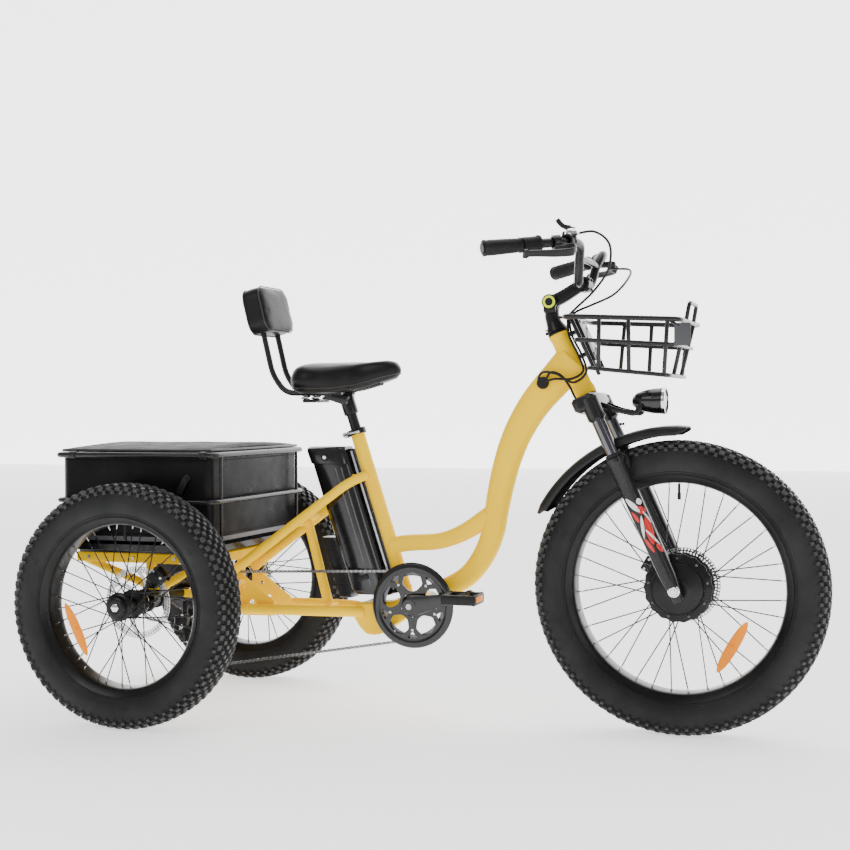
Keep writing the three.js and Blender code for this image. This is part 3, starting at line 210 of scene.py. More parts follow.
# The reflectors glow: their orange emission is painted light, since a reflector is no lamp.
REFLECTOR_WITH_PAINTED_GLOW = material("reflector_orange", "reflector_orange", (1.0, 0.27, 0.0), 0.45,
                     grain=("leather", 380, 0.0004), mottle=0.10, Emission_Color=(1.0, 0.22, 0.0, 1),
                     Emission_Strength=0.10, Specular_IOR_Level=0.2)
LIME = material("accent_lime", "accent_lime", (0.80, 0.95, 0.005), 0.4, coat=0.1, mottle=0.04)
GLASS = material("lamp_glass", "lamp_glass", (0.95, 0.96, 0.98), 0.06, mottle=0.01,
                 Transmission_Weight=0.85, IOR=1.45)
WHITE = material("decal_white", "black_paint", (0.85, 0.84, 0.83), 0.3, coat=0.5, mottle=0.04)
RED = material("decal_red", "black_paint", (0.62, 0.008, 0.004), 0.35, coat=0.2, mottle=0.12)
GREY_PLATE = material("grey_plate", "black_plastic", (0.055, 0.056, 0.062), 0.5,
                      grain=("leather", 420, 0.0002), mottle=0.1)
BRASS = material("nipple_brass", "steel", (0.62, 0.60, 0.55), 0.25, metallic=1.0, mottle=0.1)


# ---- Shapes: each is (points as an array in millimetres, faces as lists of indices) ----
def merge(*shapes):
    """Several shapes as one."""
    points, faces, base = [], [], 0
    for some, more in shapes:
        points.append(np.asarray(some, float).reshape(-1, 3))
        faces += [[base + i for i in face] for face in more]
        base += len(some)
    return np.vstack(points), faces


def moved(shape, matrix):
    """A shape put through a placement."""
    a = np.array(matrix)
    return shape[0] @ a[:3, :3].T + a[:3, 3], shape[1]


def at(x, y, z, turn=0.0, axis="Y"):
    """A placement at a point, turned about an axis."""
    return Matrix.Translation((x, y, z)) @ Matrix.Rotation(turn, 4, axis)


# Turns that take +Y to another direction
TO_UP = Matrix.Rotation(pi / 2, 4, "X")
TO_RIGHT = Matrix.Rotation(pi, 4, "X")
TO_FRONT = Matrix.Rotation(-pi / 2, 4, "Z")
TO_BACK = Matrix.Rotation(pi / 2, 4, "Z")


def outward(side):
    """The turn that takes +Y to a side of the tricycle: 1 is its left, -1 its right."""
    return Matrix.Rotation(0 if side > 0 else pi, 4, "X")


def along(a, b):
    """A placement with +Y running from a to b."""
    a, b = Vector(a), Vector(b)
    turn = Vector((0, 1, 0)).rotation_difference(b - a).to_matrix().to_4x4()
    return Matrix.Translation(a) @ turn


def loft(rings, closed=False):
    """Skins a list of rings that have the same number of points. closed joins the last to the first."""
    n = len(rings[0])
    points = np.vstack([np.asarray(r, float) for r in rings])
    faces = []
    for i in range(len(rings) - (0 if closed else 1)):
        a, b = i * n, ((i + 1) % len(rings)) * n
        faces += [[a + j, a + (j + 1) % n, b + (j + 1) % n, b + j] for j in range(n)]
    if not closed:
        faces += [list(range(n))[::-1], list(range((len(rings) - 1) * n, len(rings) * n))]
    return points, faces


def circle(radius, sides):
    return [(radius * cos(TAU * i / sides), radius * sin(TAU * i / sides)) for i in range(sides)]


def oblong(half_u, half_v, corner, steps=4):
    """A rectangle with rounded corners, as a section."""
    out = []
    for su, sv, start in ((1, 1, 0), (-1, 1, 90), (-1, -1, 180), (1, -1, 270)):
        for i in range(steps + 1):
            angle = radians(start + 90 * i / steps)
            out.append((su * (half_u - corner) + corner * cos(angle),
                        sv * (half_v - corner) + corner * sin(angle)))
    return out


def distances(line):
    """How far along a line each of its points is."""
    return np.r_[0, np.cumsum(np.linalg.norm(np.diff(line, axis=0), axis=1))]


def spaced(line, wanted):
    """The points that are at the wanted distances along a line."""
    runs = distances(line)
    return np.column_stack([np.interp(wanted, runs, column) for column in line.T])


def curve(points, count):
    """Points spaced evenly on a smooth curve through the given ones."""
    given = [np.array(p, float) for p in points]
    given = [2 * given[0] - given[1], *given, 2 * given[-1] - given[-2]]
    fine = []
    for a, b, c, d in zip(given, given[1:], given[2:], given[3:]):
        knots = [0.0]
        for p, q in ((a, b), (b, c), (c, d)):
            knots.append(knots[-1] + max(1e-6, np.linalg.norm(q - p)) ** 0.5)
        t0, t1, t2, t3 = knots
        for t in np.linspace(t1, t2, 24, endpoint=False):
            ab = a * (t1 - t) / (t1 - t0) + b * (t - t0) / (t1 - t0)
            bc = b * (t2 - t) / (t2 - t1) + c * (t - t1) / (t2 - t1)
            cd = c * (t3 - t) / (t3 - t2) + d * (t - t2) / (t3 - t2)
            left = ab * (t2 - t) / (t2 - t0) + bc * (t - t0) / (t2 - t0)
            right = bc * (t3 - t) / (t3 - t1) + cd * (t - t1) / (t3 - t1)
            fine.append(left * (t2 - t) / (t2 - t1) + right * (t - t1) / (t2 - t1))
    fine = np.array([*fine, given[-2]])
    return spaced(fine, np.linspace(0, distances(fine)[-1], count))


def bend(before, corner, after, r1, r2, steps):
    """Points on a soft bend at a corner, from r1 before it to r2 after it."""
    start = corner + r1 * (before - corner) / max(1e-9, np.linalg.norm(before - corner))
    end = corner + r2 * (after - corner) / max(1e-9, np.linalg.norm(after - corner))
    return [(1 - t) ** 2 * start + 2 * t * (1 - t) * corner + t * t * end
            for t in np.linspace(0, 1, steps + 1)]


def bent(points, radius, steps=6):
    """Straight runs joined by bends that start radius away from each corner."""
    given = [np.array(p, float) for p in points]
    out = [given[0]]
    for before, corner, after in zip(given, given[1:], given[2:]):
        out += bend(before, corner, after, radius, radius, steps)
    return np.array([*out, given[-1]])


def rounded_loop(corners, radius, steps=6):
    """A closed loop with its corners bent."""
    given = [np.array(p, float) for p in corners]
    out = []
    for i, corner in enumerate(given):
        before, after = given[i - 1], given[(i + 1) % len(given)]
        out += bend(before, corner, after, radius, radius, steps)
    return np.array(out)


def frames_on(path, closed, up):
    """The direction and a steady normal at each point of a path."""
    tangents = np.gradient(path, axis=0) if not closed else np.roll(path, -1, 0) - np.roll(path, 1, 0)
    tangents /= np.linalg.norm(tangents, axis=1)[:, None]
    normal = np.array(up, float)
    normals = []
    for tangent in tangents:
        normal = normal - tangent * (normal @ tangent)
        if np.linalg.norm(normal) < 1e-3:
            normal = np.cross(tangent, (0.3, 1, 0.2))
        normal /= np.linalg.norm(normal)
        normals.append(normal.copy())
    return tangents, np.array(normals)


def sweep(path, section, closed=False, up=(0, 0, 1), sizes=None):
    """Carries a section along a path. The section's first axis is up, its second is sideways. sizes
    scales it at each point, as one number or a pair."""
    path = np.asarray(path, float)
    section = np.asarray(section, float)
    tangents, normals = frames_on(path, closed, up)
    rings = []
    for i, (point, tangent, normal) in enumerate(zip(path, tangents, normals)):
        side = np.cross(normal, tangent)
        size = np.ones(2) if sizes is None else np.ones(2) * sizes[i]
        rings.append(point + np.outer(section[:, 0] * size[0], normal)
                     + np.outer(section[:, 1] * size[1], side))
    return loft(rings, closed)


def tube(path, radius, sides=16, closed=False, soft_end=None):
    """A round tube with slightly rounded ends. radius is one number or one for each point."""
    path = np.asarray(path, float)
    radii = np.ones(len(path)) * radius
    if not closed:
        soft = min(radii[0], radii[-1]) * 0.25 if soft_end is None else soft_end
        first = path[0] + soft * (path[1] - path[0]) / np.linalg.norm(path[1] - path[0])
        last = path[-1] + soft * (path[-2] - path[-1]) / np.linalg.norm(path[-2] - path[-1])
        path = np.vstack([path[:1], first, path[1:-1], last, path[-1:]])
        radii = np.r_[radii[0] - soft, radii, radii[-1] - soft]
    return sweep(path, circle(1, sides), closed, sizes=radii)


def rod(a, b, radius, sides=16, end_radius=None):
    return tube([a, b], [radius, radius if end_radius is None else end_radius], sides)


def lathe(profile, segments=96, closed=True, ripple=None):
    """Turns a profile of (radius, y) about the Y axis. ripple(i, angle) changes a radius."""
    rings = []
    for k in range(segments):
        angle = TAU * k / segments
        radii = [r + (ripple(i, angle) if ripple else 0) for i, (r, y) in enumerate(profile)]
        rings.append([(r * cos(angle), y, r * sin(angle)) for r, (_, y) in zip(radii, profile)])
    points, n = np.vstack(rings), len(profile)
    faces = []
    for k in range(segments):
        a, b = k * n, ((k + 1) % segments) * n
        faces += [[a + j, a + (j + 1) % n, b + (j + 1) % n, b + j] for j in range(n - (0 if closed else 1))]
    return points, faces


def thin_ring(radius, y, high, wide, sides, segments):
    """A thin ring about the Y axis. high and wide are half of its section's height and width."""
    section = [(radius + high * cos(a), y + wide * sin(a)) for a in np.linspace(0, TAU, sides + 1)[:-1]]
    return lathe(section, segments)


def eased(profile, radius, steps=3):
    """A profile with its corners rounded."""
    out = []
    given = [np.array(p, float) for p in profile]
    for i, corner in enumerate(given):
        before, after = given[i - 1], given[(i + 1) % len(given)]
        if corner[0] < 1e-6:
            out.append(tuple(corner))
            continue
        r1 = min(radius, np.linalg.norm(before - corner) * 0.45)
        r2 = min(radius, np.linalg.norm(after - corner) * 0.45)
        out += [tuple(p) for p in bend(before, corner, after, r1, r2, steps)]
    return out


def sleeve(inner, outer, y0, y1, ease, segments):
    """A short tube about the Y axis with eased edges."""
    return lathe(eased([(inner, y0), (outer, y0), (outer, y1), (inner, y1)], ease), segments)


def prism(outline, y0, y1):
    """An outline of (x, z), given thickness along Y."""
    return loft([[(x, y0, z) for x, z in outline], [(x, y1, z) for x, z in outline]])


def washer(outer, inner, y0, y1):
    """A flat ring between two outlines with the same number of points."""
    rings = [[(x, y, z) for x, z in loop] for loop, y in ((outer, y0), (outer, y1), (inner, y1),
                                                          (inner, y0))]
    return loft(rings, closed=True)


def block(size, place=None, corner=1.5):
    """A box with rounded vertical edges and eased ends."""
    x, y, z = (s / 2 for s in size)
    c = min(corner, x * 0.9, y * 0.9, z * 0.9)
    rings = []
    for height, inset in ((-z, c * 0.7), (-z + c * 0.3, c * 0.2), (-z + c, 0), (z - c, 0),
                          (z - c * 0.3, c * 0.2), (z, c * 0.7)):
        rings.append([(u, v, height) for u, v in oblong(x - inset, y - inset, max(c - inset, 0.05), 3)])
    shape = loft(rings)
    return shape if place is None else moved(shape, place)


def disc(radius, centre, y0, y1, segments=40, edge=0.8):
    """A short cylinder along Y with eased edges."""
    low, high = min(y0, y1), max(y0, y1)
    e = min(edge, (high - low) * 0.3, radius * 0.3)
    profile = [(0, low), (radius - e, low), (radius, low + e), (radius, high - e), (radius - e, high),
               (0, high)]
    return moved(lathe(profile, segments, closed=False), at(centre[0], 0, centre[-1]))


def bolt(place, radius=4.0, height=4.0):
    """A socket-head bolt whose head rises along the placement's +Y."""
    socket, depth = radius * 0.5, height * 0.6
    profile = [(0, height - depth), (socket, height - depth), (socket, height), (radius * 0.86, height),
               (radius, height * 0.8), (radius, 0), (0, 0)]
    return moved(lathe(profile, 18, closed=False), place)


def nut(place, radius=8.0, height=7.0, hole=0.5):
    """A domed hexagon nut that rises along the placement's +Y."""
    hexagon = around((0, 0), radius, 6)
    inset = [(0.86 * x, 0.86 * z) for x, z in hexagon]
    base = loft([[(x, 0, z) for x, z in hexagon], [(x, height * 0.75, z) for x, z in hexagon],
                 [(x, height, z) for x, z in inset]])
    stud = lathe([(0, 0), (radius * hole, 0), (radius * hole, height * 1.25),
                  (radius * hole * 0.8, height * 1.4), (0, height * 1.4)], 20, closed=False)
    return moved(merge(base, stud), place)


def toothed(teeth, root, tip, hole, y0, y1, steps=6):
    """A sprocket: a flat ring with teeth round its edge."""
    outer, inner = [], []
    for i in range(teeth * steps):
        phase = i % steps / steps
        rise = max(0.0, cos(TAU * phase)) ** 0.7
        radius, angle = root + (tip - root) * rise, TAU * i / (teeth * steps)
        outer.append((radius * cos(angle), radius * sin(angle)))
        inner.append((hole * cos(angle), hole * sin(angle)))
    return washer(outer, inner, y0, y1)


def ring_of(shape, count, radius, start=0.0):
    """Copies of a shape made at the origin, set round the Y axis."""
    turned = []
    for i in range(count):
        angle = start + TAU * i / count
        turned.append(moved(shape, Matrix.Rotation(-angle, 4, "Y") @ at(radius, 0, 0)))
    return merge(*turned)


def piece(name, shape, look, body, replaces=(), sharp=38, bevel=0.0):
    """One mesh of the finished model, in the frame's metres, riding on a body. Edges sharper than
    sharp degrees stay hard, and bevel is their rounding."""
    points = (np.asarray(shape[0], float) + (SHIFT_X, 0, 0)) * MM
    mesh = bpy.data.meshes.new(name)
    mesh.from_pydata(points.tolist(), [], [list(f) for f in shape[1]])
    work = bmesh.new()
    work.from_mesh(mesh)
    bmesh.ops.remove_doubles(work, verts=work.verts, dist=WELD_WITHIN)
    loose = [v for v in work.verts if not v.link_faces]
    bmesh.ops.delete(work, geom=loose, context="VERTS")
    bmesh.ops.recalc_face_normals(work, faces=work.faces)
    work.to_mesh(mesh)
    work.free()
    mesh.polygons.foreach_set("use_smooth", [True] * len(mesh.polygons))
    if sharp < 180:
        mesh.set_sharp_from_angle(angle=radians(sharp))
    made = bpy.data.objects.new(name, mesh)
    bpy.context.scene.collection.objects.link(made)
    mesh.materials.append(look)
    if bevel:
        edge = made.modifiers.new("edge", "BEVEL")
        edge.width = bevel * MM
        edge.segments = 2
        edge.limit_method = "ANGLE"
        edge.angle_limit = radians(BEVEL_FROM)
        edge.harden_normals = True
    if body:
        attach(made, body)
    if replaces:
        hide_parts(*([replaces] if isinstance(replaces, str) else replaces))
    return made


SOFT_FRAMES = 20
SOFT_CELL = 0.005
SOFT_PRESSURE = 4.0
SOFT_MOST = 0.006


def soft_pass(made, voxel, pressure, most, held):
    """Fills a cover out as cloth under pressure. voxel is the cloth's cell, most the furthest any point may
    move, both in metres, and held says which points (set-out millimetres) stay on the base."""
    bpy.context.view_layer.objects.active = made
    for other in bpy.context.selected_objects:
        other.select_set(False)
    made.select_set(True)
    cells = made.modifiers.new("cells", "REMESH")
    cells.mode = "VOXEL"
    cells.voxel_size = voxel
    bpy.ops.object.modifier_apply(modifier=cells.name)
    mesh = made.data
    rest = np.zeros(len(mesh.vertices) * 3)
    mesh.vertices.foreach_get("co", rest)
    rest = rest.reshape(-1, 3)
    group = made.vertex_groups.new(name="held")
    fixed = [i for i, p in enumerate(rest / MM - (SHIFT_X, 0, 0)) if held(*p)]
    group.add(fixed, 1.0, "REPLACE")
    cloth = made.modifiers.new("cloth", "CLOTH")
    settings = cloth.settings
    settings.quality = 6
    settings.mass = 0.3
    settings.tension_stiffness = settings.compression_stiffness = 25
    settings.shear_stiffness = 12
    settings.bending_stiffness = 6.0
    settings.use_pressure = True
    settings.uniform_pressure_force = pressure
    settings.vertex_group_mass = "held"
    settings.effector_weights.gravity = 0
    cloth.point_cache.frame_start, cloth.point_cache.frame_end = 1, SOFT_FRAMES
    for number in range(1, SOFT_FRAMES + 1):
        bpy.context.scene.frame_set(number)
    shaped = made.evaluated_get(bpy.context.evaluated_depsgraph_get()).to_mesh()
    after = np.zeros(len(shaped.vertices) * 3)
    shaped.vertices.foreach_get("co", after)
    after = after.reshape(-1, 3)
    move = after - rest
    size = np.linalg.norm(move, axis=1)[:, None]
    after = rest + move * np.minimum(1.0, most / np.maximum(size, 1e-9))
    made.modifiers.remove(cloth)
    made.vertex_groups.remove(group)
    mesh.vertices.foreach_set("co", after.ravel())
    mesh.polygons.foreach_set("use_smooth", [True] * len(mesh.polygons))
    mesh.update()
    bpy.context.scene.frame_set(1)
    relax = made.modifiers.new("relax", "SMOOTH")
    relax.iterations = 2
    relax.factor = 0.4
    fine = made.modifiers.new("fine", "SUBSURF")
    fine.levels = fine.render_levels = 1


STEERING = at(*HEAD_TOP, -HEAD_TILT)
SEAT = at(*SEAT_TOP, -SEAT_TILT)


def on_head(x, y, z):
    return tuple(STEERING @ Vector((x, y, z)))


def on_seat(x, y, z):
    return tuple(SEAT @ Vector((x, y, z)))


def weld(centre, direction, radius, thick=2.0, beads=46):
    """A rippled weld bead round a tube."""
    path = []
    place = along(centre, np.array(centre) + np.array(direction))
    for i in range(beads * 2):
        angle = TAU * i / (beads * 2)
        path.append(tuple(place @ Vector((radius * cos(angle), 0, radius * sin(angle)))))
    swell = [1.0 + 0.22 * (i % 2) for i in range(beads * 2)]
    return sweep(path, circle(thick, 8), closed=True, sizes=swell)


def plate(flat, faces, y0, y1):
    """Flat faces over (x, z) points, given thickness along Y, with a wall on each open edge."""
    n = len(flat)
    points = [(x, y0, z) for x, z in flat] + [(x, y1, z) for x, z in flat]
    edges = {}
    for face in faces:
        for a, b in zip(face, [*face[1:], face[0]]):
            edges[a, b] = edges.get((a, b), 0) + 1
    walls = [[a, b, b + n, a + n] for a, b in edges if (b, a) not in edges]
    return np.array(points), [list(f)[::-1] for f in faces] + [[i + n for i in f] for f in faces] + walls


def holed(outline, holes, y0, y1):
    """A plate with holes."""
    from mathutils.geometry import tessellate_polygon

    loops = [[Vector((x, z, 0)) for x, z in loop] for loop in (outline, *holes)]
    flat = [(p.x, p.y) for loop in loops for p in loop]
    faces = []
    for a, b, c in tessellate_polygon(loops):
        (ax, az), (bx, bz), (cx, cz) = flat[a], flat[b], flat[c]
        area = (bx - ax) * (cz - az) - (bz - az) * (cx - ax)
        if abs(area) > 1e-9:
            faces.append([a, b, c] if area > 0 else [a, c, b])
    return plate(flat, faces, y0, y1)


def around(centre, radius, count, start=0.0):
    return [(centre[0] + radius * cos(start + TAU * i / count),
             centre[1] + radius * sin(start + TAU * i / count))
            for i in range(count)]


# ---- Wheels, each made about its own centre ----
def tyre(outer, knobs):
    """A tyre's casing with its raised marks, and its tread blocks, knobs of them in each row."""
    half = [(-88, 30), (-88, 36.5), (-85, 39.2), (-82.6, 40.6), (-80, 40.4), (-77, 42.4), (-70, 45.8),
            (-62, 48.4), (-50, 49.6), (-38, 49.0), (-28, 46.4), (-20, 42.6), (-14, 37), (-11, 30),
            (-9.6, 20), (-9, 8)]
    inner = [(-12, 6), (-13, 20), (-17, 32), (-26, 40), (-40, 43), (-56, 43), (-72, 39), (-82, 33)]
    outside = [(outer + r, y) for r, y in half]
    inside = [(outer + r, y) for r, y in inner]
    profile = [*outside, *[(r, -y) for r, y in outside[::-1]], *[(r, -y) for r, y in inside[::-1]], *inside]
    carcass = lathe(profile, 144)
    rows = [  # across, below the outer radius, lean, length, width, height, phase
        (0, 9.0, 0, 13, 10.5, 9.0, 0.0), (14.5, 9.4, 6, 12, 10, 8.8, 0.5),
        (27.5, 11.0, 19, 13, 9.5, 8.8, 0.0), (37.0, 16.0, 44, 15, 10, 9.6, 0.5),
        (42.4, 22.6, 60, 10, 9, 7.6, 0.0),
    ]
    blocks = []
    for across, below, lean, length, width, height, phase in rows:
        rings = []
        for rise, share in ((-2.5, 1.0), (height - 1.1, 0.86), (height, 0.70)):
            u, v = width / 2 * share, length / 2 * share
            rings.append([(rise, -u, -v), (rise, u, -v), (rise, u, v), (rise, -u, v)])
        for side in (1, -1) if across else (1,):
            knob = moved(loft(rings), at(0, side * across, 0, radians(side * lean), "Z"))
            blocks.append(ring_of(knob, knobs, outer - below, TAU / knobs * phase))
    tread = merge(*blocks)
    tick = block((1.6, 1.1, 12), Matrix.Rotation(radians(90), 4, "Y"), 0.4)
    marks = []
    for side in (1, -1):
        lean = at(0, side * 46.6, 0, radians(side * -18), "Z")
        marks.append(ring_of(moved(tick, lean), knobs, outer - 29))
        for start in (0.6, 2.7, 4.8):
            for k in range(3):
                slash = block((22, 1.2, 3.2), at(0, side * 47.6, 0, radians(side * 14), "Z")
                              @ Matrix.Rotation(0.5, 4, "Y"), 0.5)
                marks.append(moved(slash, Matrix.Rotation(-start - 0.028 * k, 4, "Y")
                                   @ at(outer - 62, 0, 0)))
    for r, y in ((-79, 41.6), (-74.5, 44.0)):
        for side in (1, -1):
            marks.append(thin_ring(outer + r, side * y, 1.1, 0.9, 6, 144))
    return merge(carcass, *marks), tread


def rim(outer):
    """A rim: a channel, open to the tyre, turned about the axle."""
    seat = outer - RIM_SEAT
    half = [(-13.6, 10), (-13, 21), (-11, 28.5), (-6, 34), (1, 38.8), (4.5, 41.4), (6.2, 42.4), (6.9, 41.2),
            (6.0, 39.9), (0.6, 38.2), (-2, 34), (-5, 26), (-7, 10)]
    outside = [(seat + r, y) for r, y in half]
    return lathe([*outside, *[(r, -y) for r, y in outside[::-1]]], 144)


def spokes(flange, across, outer, lacing, gauge=1.5):
    """Spokes laced from alternate flanges, each crossing its neighbours, and their nipples."""
    reach, wires, nipples = outer - SPOKE_END, [], []
    for i in range(SPOKES):
        side = 1 if i % 2 == 0 else -1
        lead = 1 if (i // 2) % 2 == 0 else -1
        rim_angle = TAU * (i + 0.5) / SPOKES
        hub_angle = rim_angle + lead * lacing
        start = np.array((flange * cos(hub_angle), side * (across + 2.0 * lead), flange * sin(hub_angle)))
        end = np.array((reach * cos(rim_angle), side * 9, reach * sin(rim_angle)))
        way = (end - start) / np.linalg.norm(end - start)
        head = start - np.array((0, side * lead * 3.2, 0))
        wires.append(tube([head, start, end], gauge, 6, soft_end=0.2))
        nipples.append(rod(end - way * 9, end + way * 3, 1.7, 8, 2.4))
    return merge(*wires), merge(*nipples)


def perforated(inner, outer, y0, y1, columns=66, rows=2, slant=0.16, hole=2.55):
    """The braking band of a disc rotor, with its rows of holes."""
    flat, faces = [], []
    step = (outer - inner) / rows

    def point(column, row):
        radius = inner + step * row
        angle = TAU * column / columns + slant * (radius - inner) / (outer - inner)
        return radius * cos(angle), radius * sin(angle)

    for i in range(columns):
        for j in range(rows):
            loop = [point(i + u, j + v) for u, v in
                    ((0, 0), (0.5, 0), (1, 0), (1, 0.5), (1, 1), (0.5, 1), (0, 1), (0, 0.5))]
            cx, cz = point(i + 0.5, j + 0.5)
            base = len(flat)
            flat += loop
            for x, z in loop:
                away = hypot(x - cx, z - cz)
                flat.append((cx + (x - cx) * hole / away, cz + (z - cz) * hole / away))
            faces += [[base + k, base + 8 + k, base + 8 + (k + 1) % 8, base + (k + 1) % 8]
                      for k in range(8)]
    keys, index, kept = {}, [], []
    for p in flat:
        key = (round(p[0], 4), round(p[1], 4))
        if key not in keys:
            keys[key] = len(kept)
            kept.append(p)
        index.append(keys[key])
    return plate(kept, [[index[i] for i in face] for face in faces], y0, y1)


def rotor(y0, y1):
    """A disc rotor: holed band, curved arms, bolted carrier."""
    arms = []
    for i in range(6):
        angle = TAU * i / 6
        route = [((26 + 52 * t) * cos(angle + 0.55 * t * t), (26 + 52 * t) * sin(angle + 0.55 * t * t))
                 for t in np.linspace(0, 1, 7)]
        left, right = [], []
        for k, (x, z) in enumerate(route):
            width = 4.6 - 1.2 * sin(pi * k / 6)
            ahead, behind = route[min(k + 1, 6)], route[max(k - 1, 0)]
            dx, dz = ahead[0] - behind[0], ahead[1] - behind[1]
            size = hypot(dx, dz)
            left.append((x - dz / size * width, z + dx / size * width))
            right.append((x + dz / size * width, z - dx / size * width))
        arms.append(prism([*left, *right[::-1]], y0 + 0.1, y1 - 0.1))
    carrier = washer(around((0, 0), 31, 60), around((0, 0), 18, 60), y0, y1)
    middle = (y0 + y1) / 2
    reach = 1 if middle > 0 else -1
    face = y1 if reach > 0 else y0
    heads = [bolt(at(22 * cos(a), face, 22 * sin(a)) @ outward(reach), 3.6, 2.6)
             for a in np.arange(6) * TAU / 6]
    return merge(perforated(ROTOR_R - 15, ROTOR_R, y0, y1), *arms, carrier), merge(*heads)


def reflector(place):
    """A clip-on wheel reflector: a long leaf shape, thicker in the middle, with a small boss."""
    rings = []
    for t in np.linspace(-1, 1, 25):
        width = 12.5 * (1 - abs(t) ** 2.6) ** 0.7 + 0.8
        rings.append([(u * width, v * (3.2 - 1.4 * abs(t)) - 2.4 * t * t, 71 * t)
                      for u, v in circle(1, 16)])
    return moved(merge(loft(rings), disc(4.5, (0, 0), -5.4, 4, 24)), place)


def wheel(prefix, body, centre, outer, knobs, hub_shape, flange, across, lacing, replaced):
    """The pieces every wheel has. knobs is the number of tread blocks in a row, flange the radius of the
    spoke holes, across their distance from the middle plane, and lacing how far round the hub a spoke
    runs, in radians."""
    place = at(*centre)
    carcass, tread = tyre(outer, knobs)
    piece(f"{prefix}_tyre_casing", moved(carcass, place), RUBBER, body, f"{prefix}_tyre", sharp=50)
    piece(f"{prefix}_tyre_tread", moved(tread, place), TREAD, body, sharp=30)
    piece(f"{prefix}_rim_hoop", moved(rim(outer), place), ALLOY, body, f"{prefix}_rim", sharp=30)
    wires, nipples = spokes(flange, across, outer, lacing)
    piece(f"{prefix}_spokes", moved(wires, place), PAINT, body, sharp=60)
    piece(f"{prefix}_nipples", moved(nipples, place), BRASS, body)
    piece(f"{prefix}_hub_shell", moved(hub_shape, place), ALLOY, body, replaced, sharp=32)
    valve = merge(rod((outer - 104, 0, 0), (outer - 142, 0, 0), 3.2, 12),
                  rod((outer - 126, 0, 0), (outer - 143, 0, 0), 4.4, 14))
    piece(f"{prefix}_valve", moved(valve, place @ Matrix.Rotation(-TAU * 9 / SPOKES, 4, "Y")),
          PLASTIC, body)


motor_profile = eased([(8, -46), (27, -46), (31, -43.5), (56, -38.5), (61, -35), (66, -25), (83, -21.5),
                       (83, -16.5), (74, -13), (74, 13), (83, 16.5), (83, 21.5), (66, 25), (60, 37),
                       (30, 46), (30, 52.5), (8, 52.5)], 2.6)


def motor_ribs(i, angle):
    """Shallow ribs round the motor's widest rims."""
    return 1.5 * cos(18 * angle) - 1.5 if motor_profile[i][0] > 80 else 0


motor = lathe(motor_profile, 216, ripple=motor_ribs)
ring_line = thin_ring(64, -30.5, 1.6, 1.6, 8, 120)
cover = merge(*[bolt(at(71 * cos(a), -24, 71 * sin(a)) @ TO_RIGHT, 3.2, 2.4)
                for a in np.arange(9) * TAU / 9 + 0.2])
hub_centre = (WHEELBASE, 0, FRONT_R)
wheel("front", "front_wheel", hub_centre, FRONT_R, 88, merge(motor, ring_line), 79, 18, radians(15),
      "front_hub_motor")
piece("front_hub_bolts", moved(cover, at(*hub_centre)), DARK_STEEL, "front_wheel")
disc_band, disc_bolts = rotor(53, 55)
piece("front_rotor", moved(disc_band, at(*hub_centre)), STEEL, "front_wheel", sharp=30)
piece("front_rotor_bolts", moved(disc_bolts, at(*hub_centre)), DARK_STEEL, "front_wheel")
piece("front_spoke_reflector", reflector(at(1429, -12, 216, radians(30))), REFLECTOR_WITH_PAINTED_GLOW, "front_wheel")

for prefix, side in (("right_rear", -1), ("left_rear", 1)):
    centre, body = (0, side * TRACK / 2, REAR_R), f"{prefix}_wheel"
    profile = eased([(9.5, -57), (24, -57), (24, -40), (35, -34), (35, -26.5), (20, -22), (20, 22),
                     (35, 26.5), (35, 34), (27, 37), (25, 45), (9.5, 45)], 1.8)
    hub = lathe([(r, side * y) for r, y in profile], 96)
    wheel(prefix, body, centre, REAR_R, 75, hub, 31.5, 28.5, radians(56), f"{prefix}_hub")
    near, far = -side * 57.4, -side * 59.6
    band, heads = rotor(min(near, far), max(near, far))
    piece(f"{prefix}_rotor_disc", moved(band, at(*centre)), STEEL, body, f"{prefix}_rotor", sharp=30)
    piece(f"{prefix}_rotor_bolts", moved(heads, at(*centre)), DARK_STEEL, body)
    out = at(0, side * TRACK / 2, REAR_R) @ outward(side)
    end_cap = moved(lathe(eased([(0, 44), (26, 44), (26, 47), (21, 50), (15, 50.5), (15, 49), (0, 49)],
                                0.8)[:-1] + [(0, 49)], 60, closed=False), out)
    piece(f"{prefix}_hub_cap", end_cap, ALLOY, body)
    piece(f"{prefix}_hub_nut", nut(out @ at(0, 49, 0), 10.5, 3.6, 0.55), CHROME, body)
    inner = -20 if side < 0 else 4
    reach = side * (TRACK / 2 + 46)
    shaft = merge(disc(8.4, (0, REAR_R), inner, reach, 40),
                  disc(12.5, (0, REAR_R), reach - side * 2, reach + side * 2, 6))
    piece(f"{prefix}_shaft", shaft, STEEL, body, f"{prefix.split('_')[0]}_axle_shaft")
    lug = at(-128, side * TRACK / 2 - 20, REAR_R - 62, radians(-26))
    piece(f"{prefix}_spoke_reflector", reflector(lug), REFLECTOR_WITH_PAINTED_GLOW, body)


# ---- Yellow frame ----
def ellipse_tube(spine, halves, steps=90, sides=32, power=2.6):
    """A hydroformed tube: its section is a soft rectangle whose depth and width change on the way.
    spine is (x, z) points; halves gives (depth, width) at each share of the length."""
    line = curve([(x, 0, z) for x, z in spine], steps)
    section = []
    for k in range(sides):
        a = TAU * k / sides
        section.append((abs(cos(a)) ** (2 / power) * (1 if cos(a) >= 0 else -1),
                        abs(sin(a)) ** (2 / power) * (1 if sin(a) >= 0 else -1)))
    sizes = [halves(t) for t in np.linspace(0, 1, steps)]
    return sweep(line, section, up=(1, 0, 0.2), sizes=sizes)


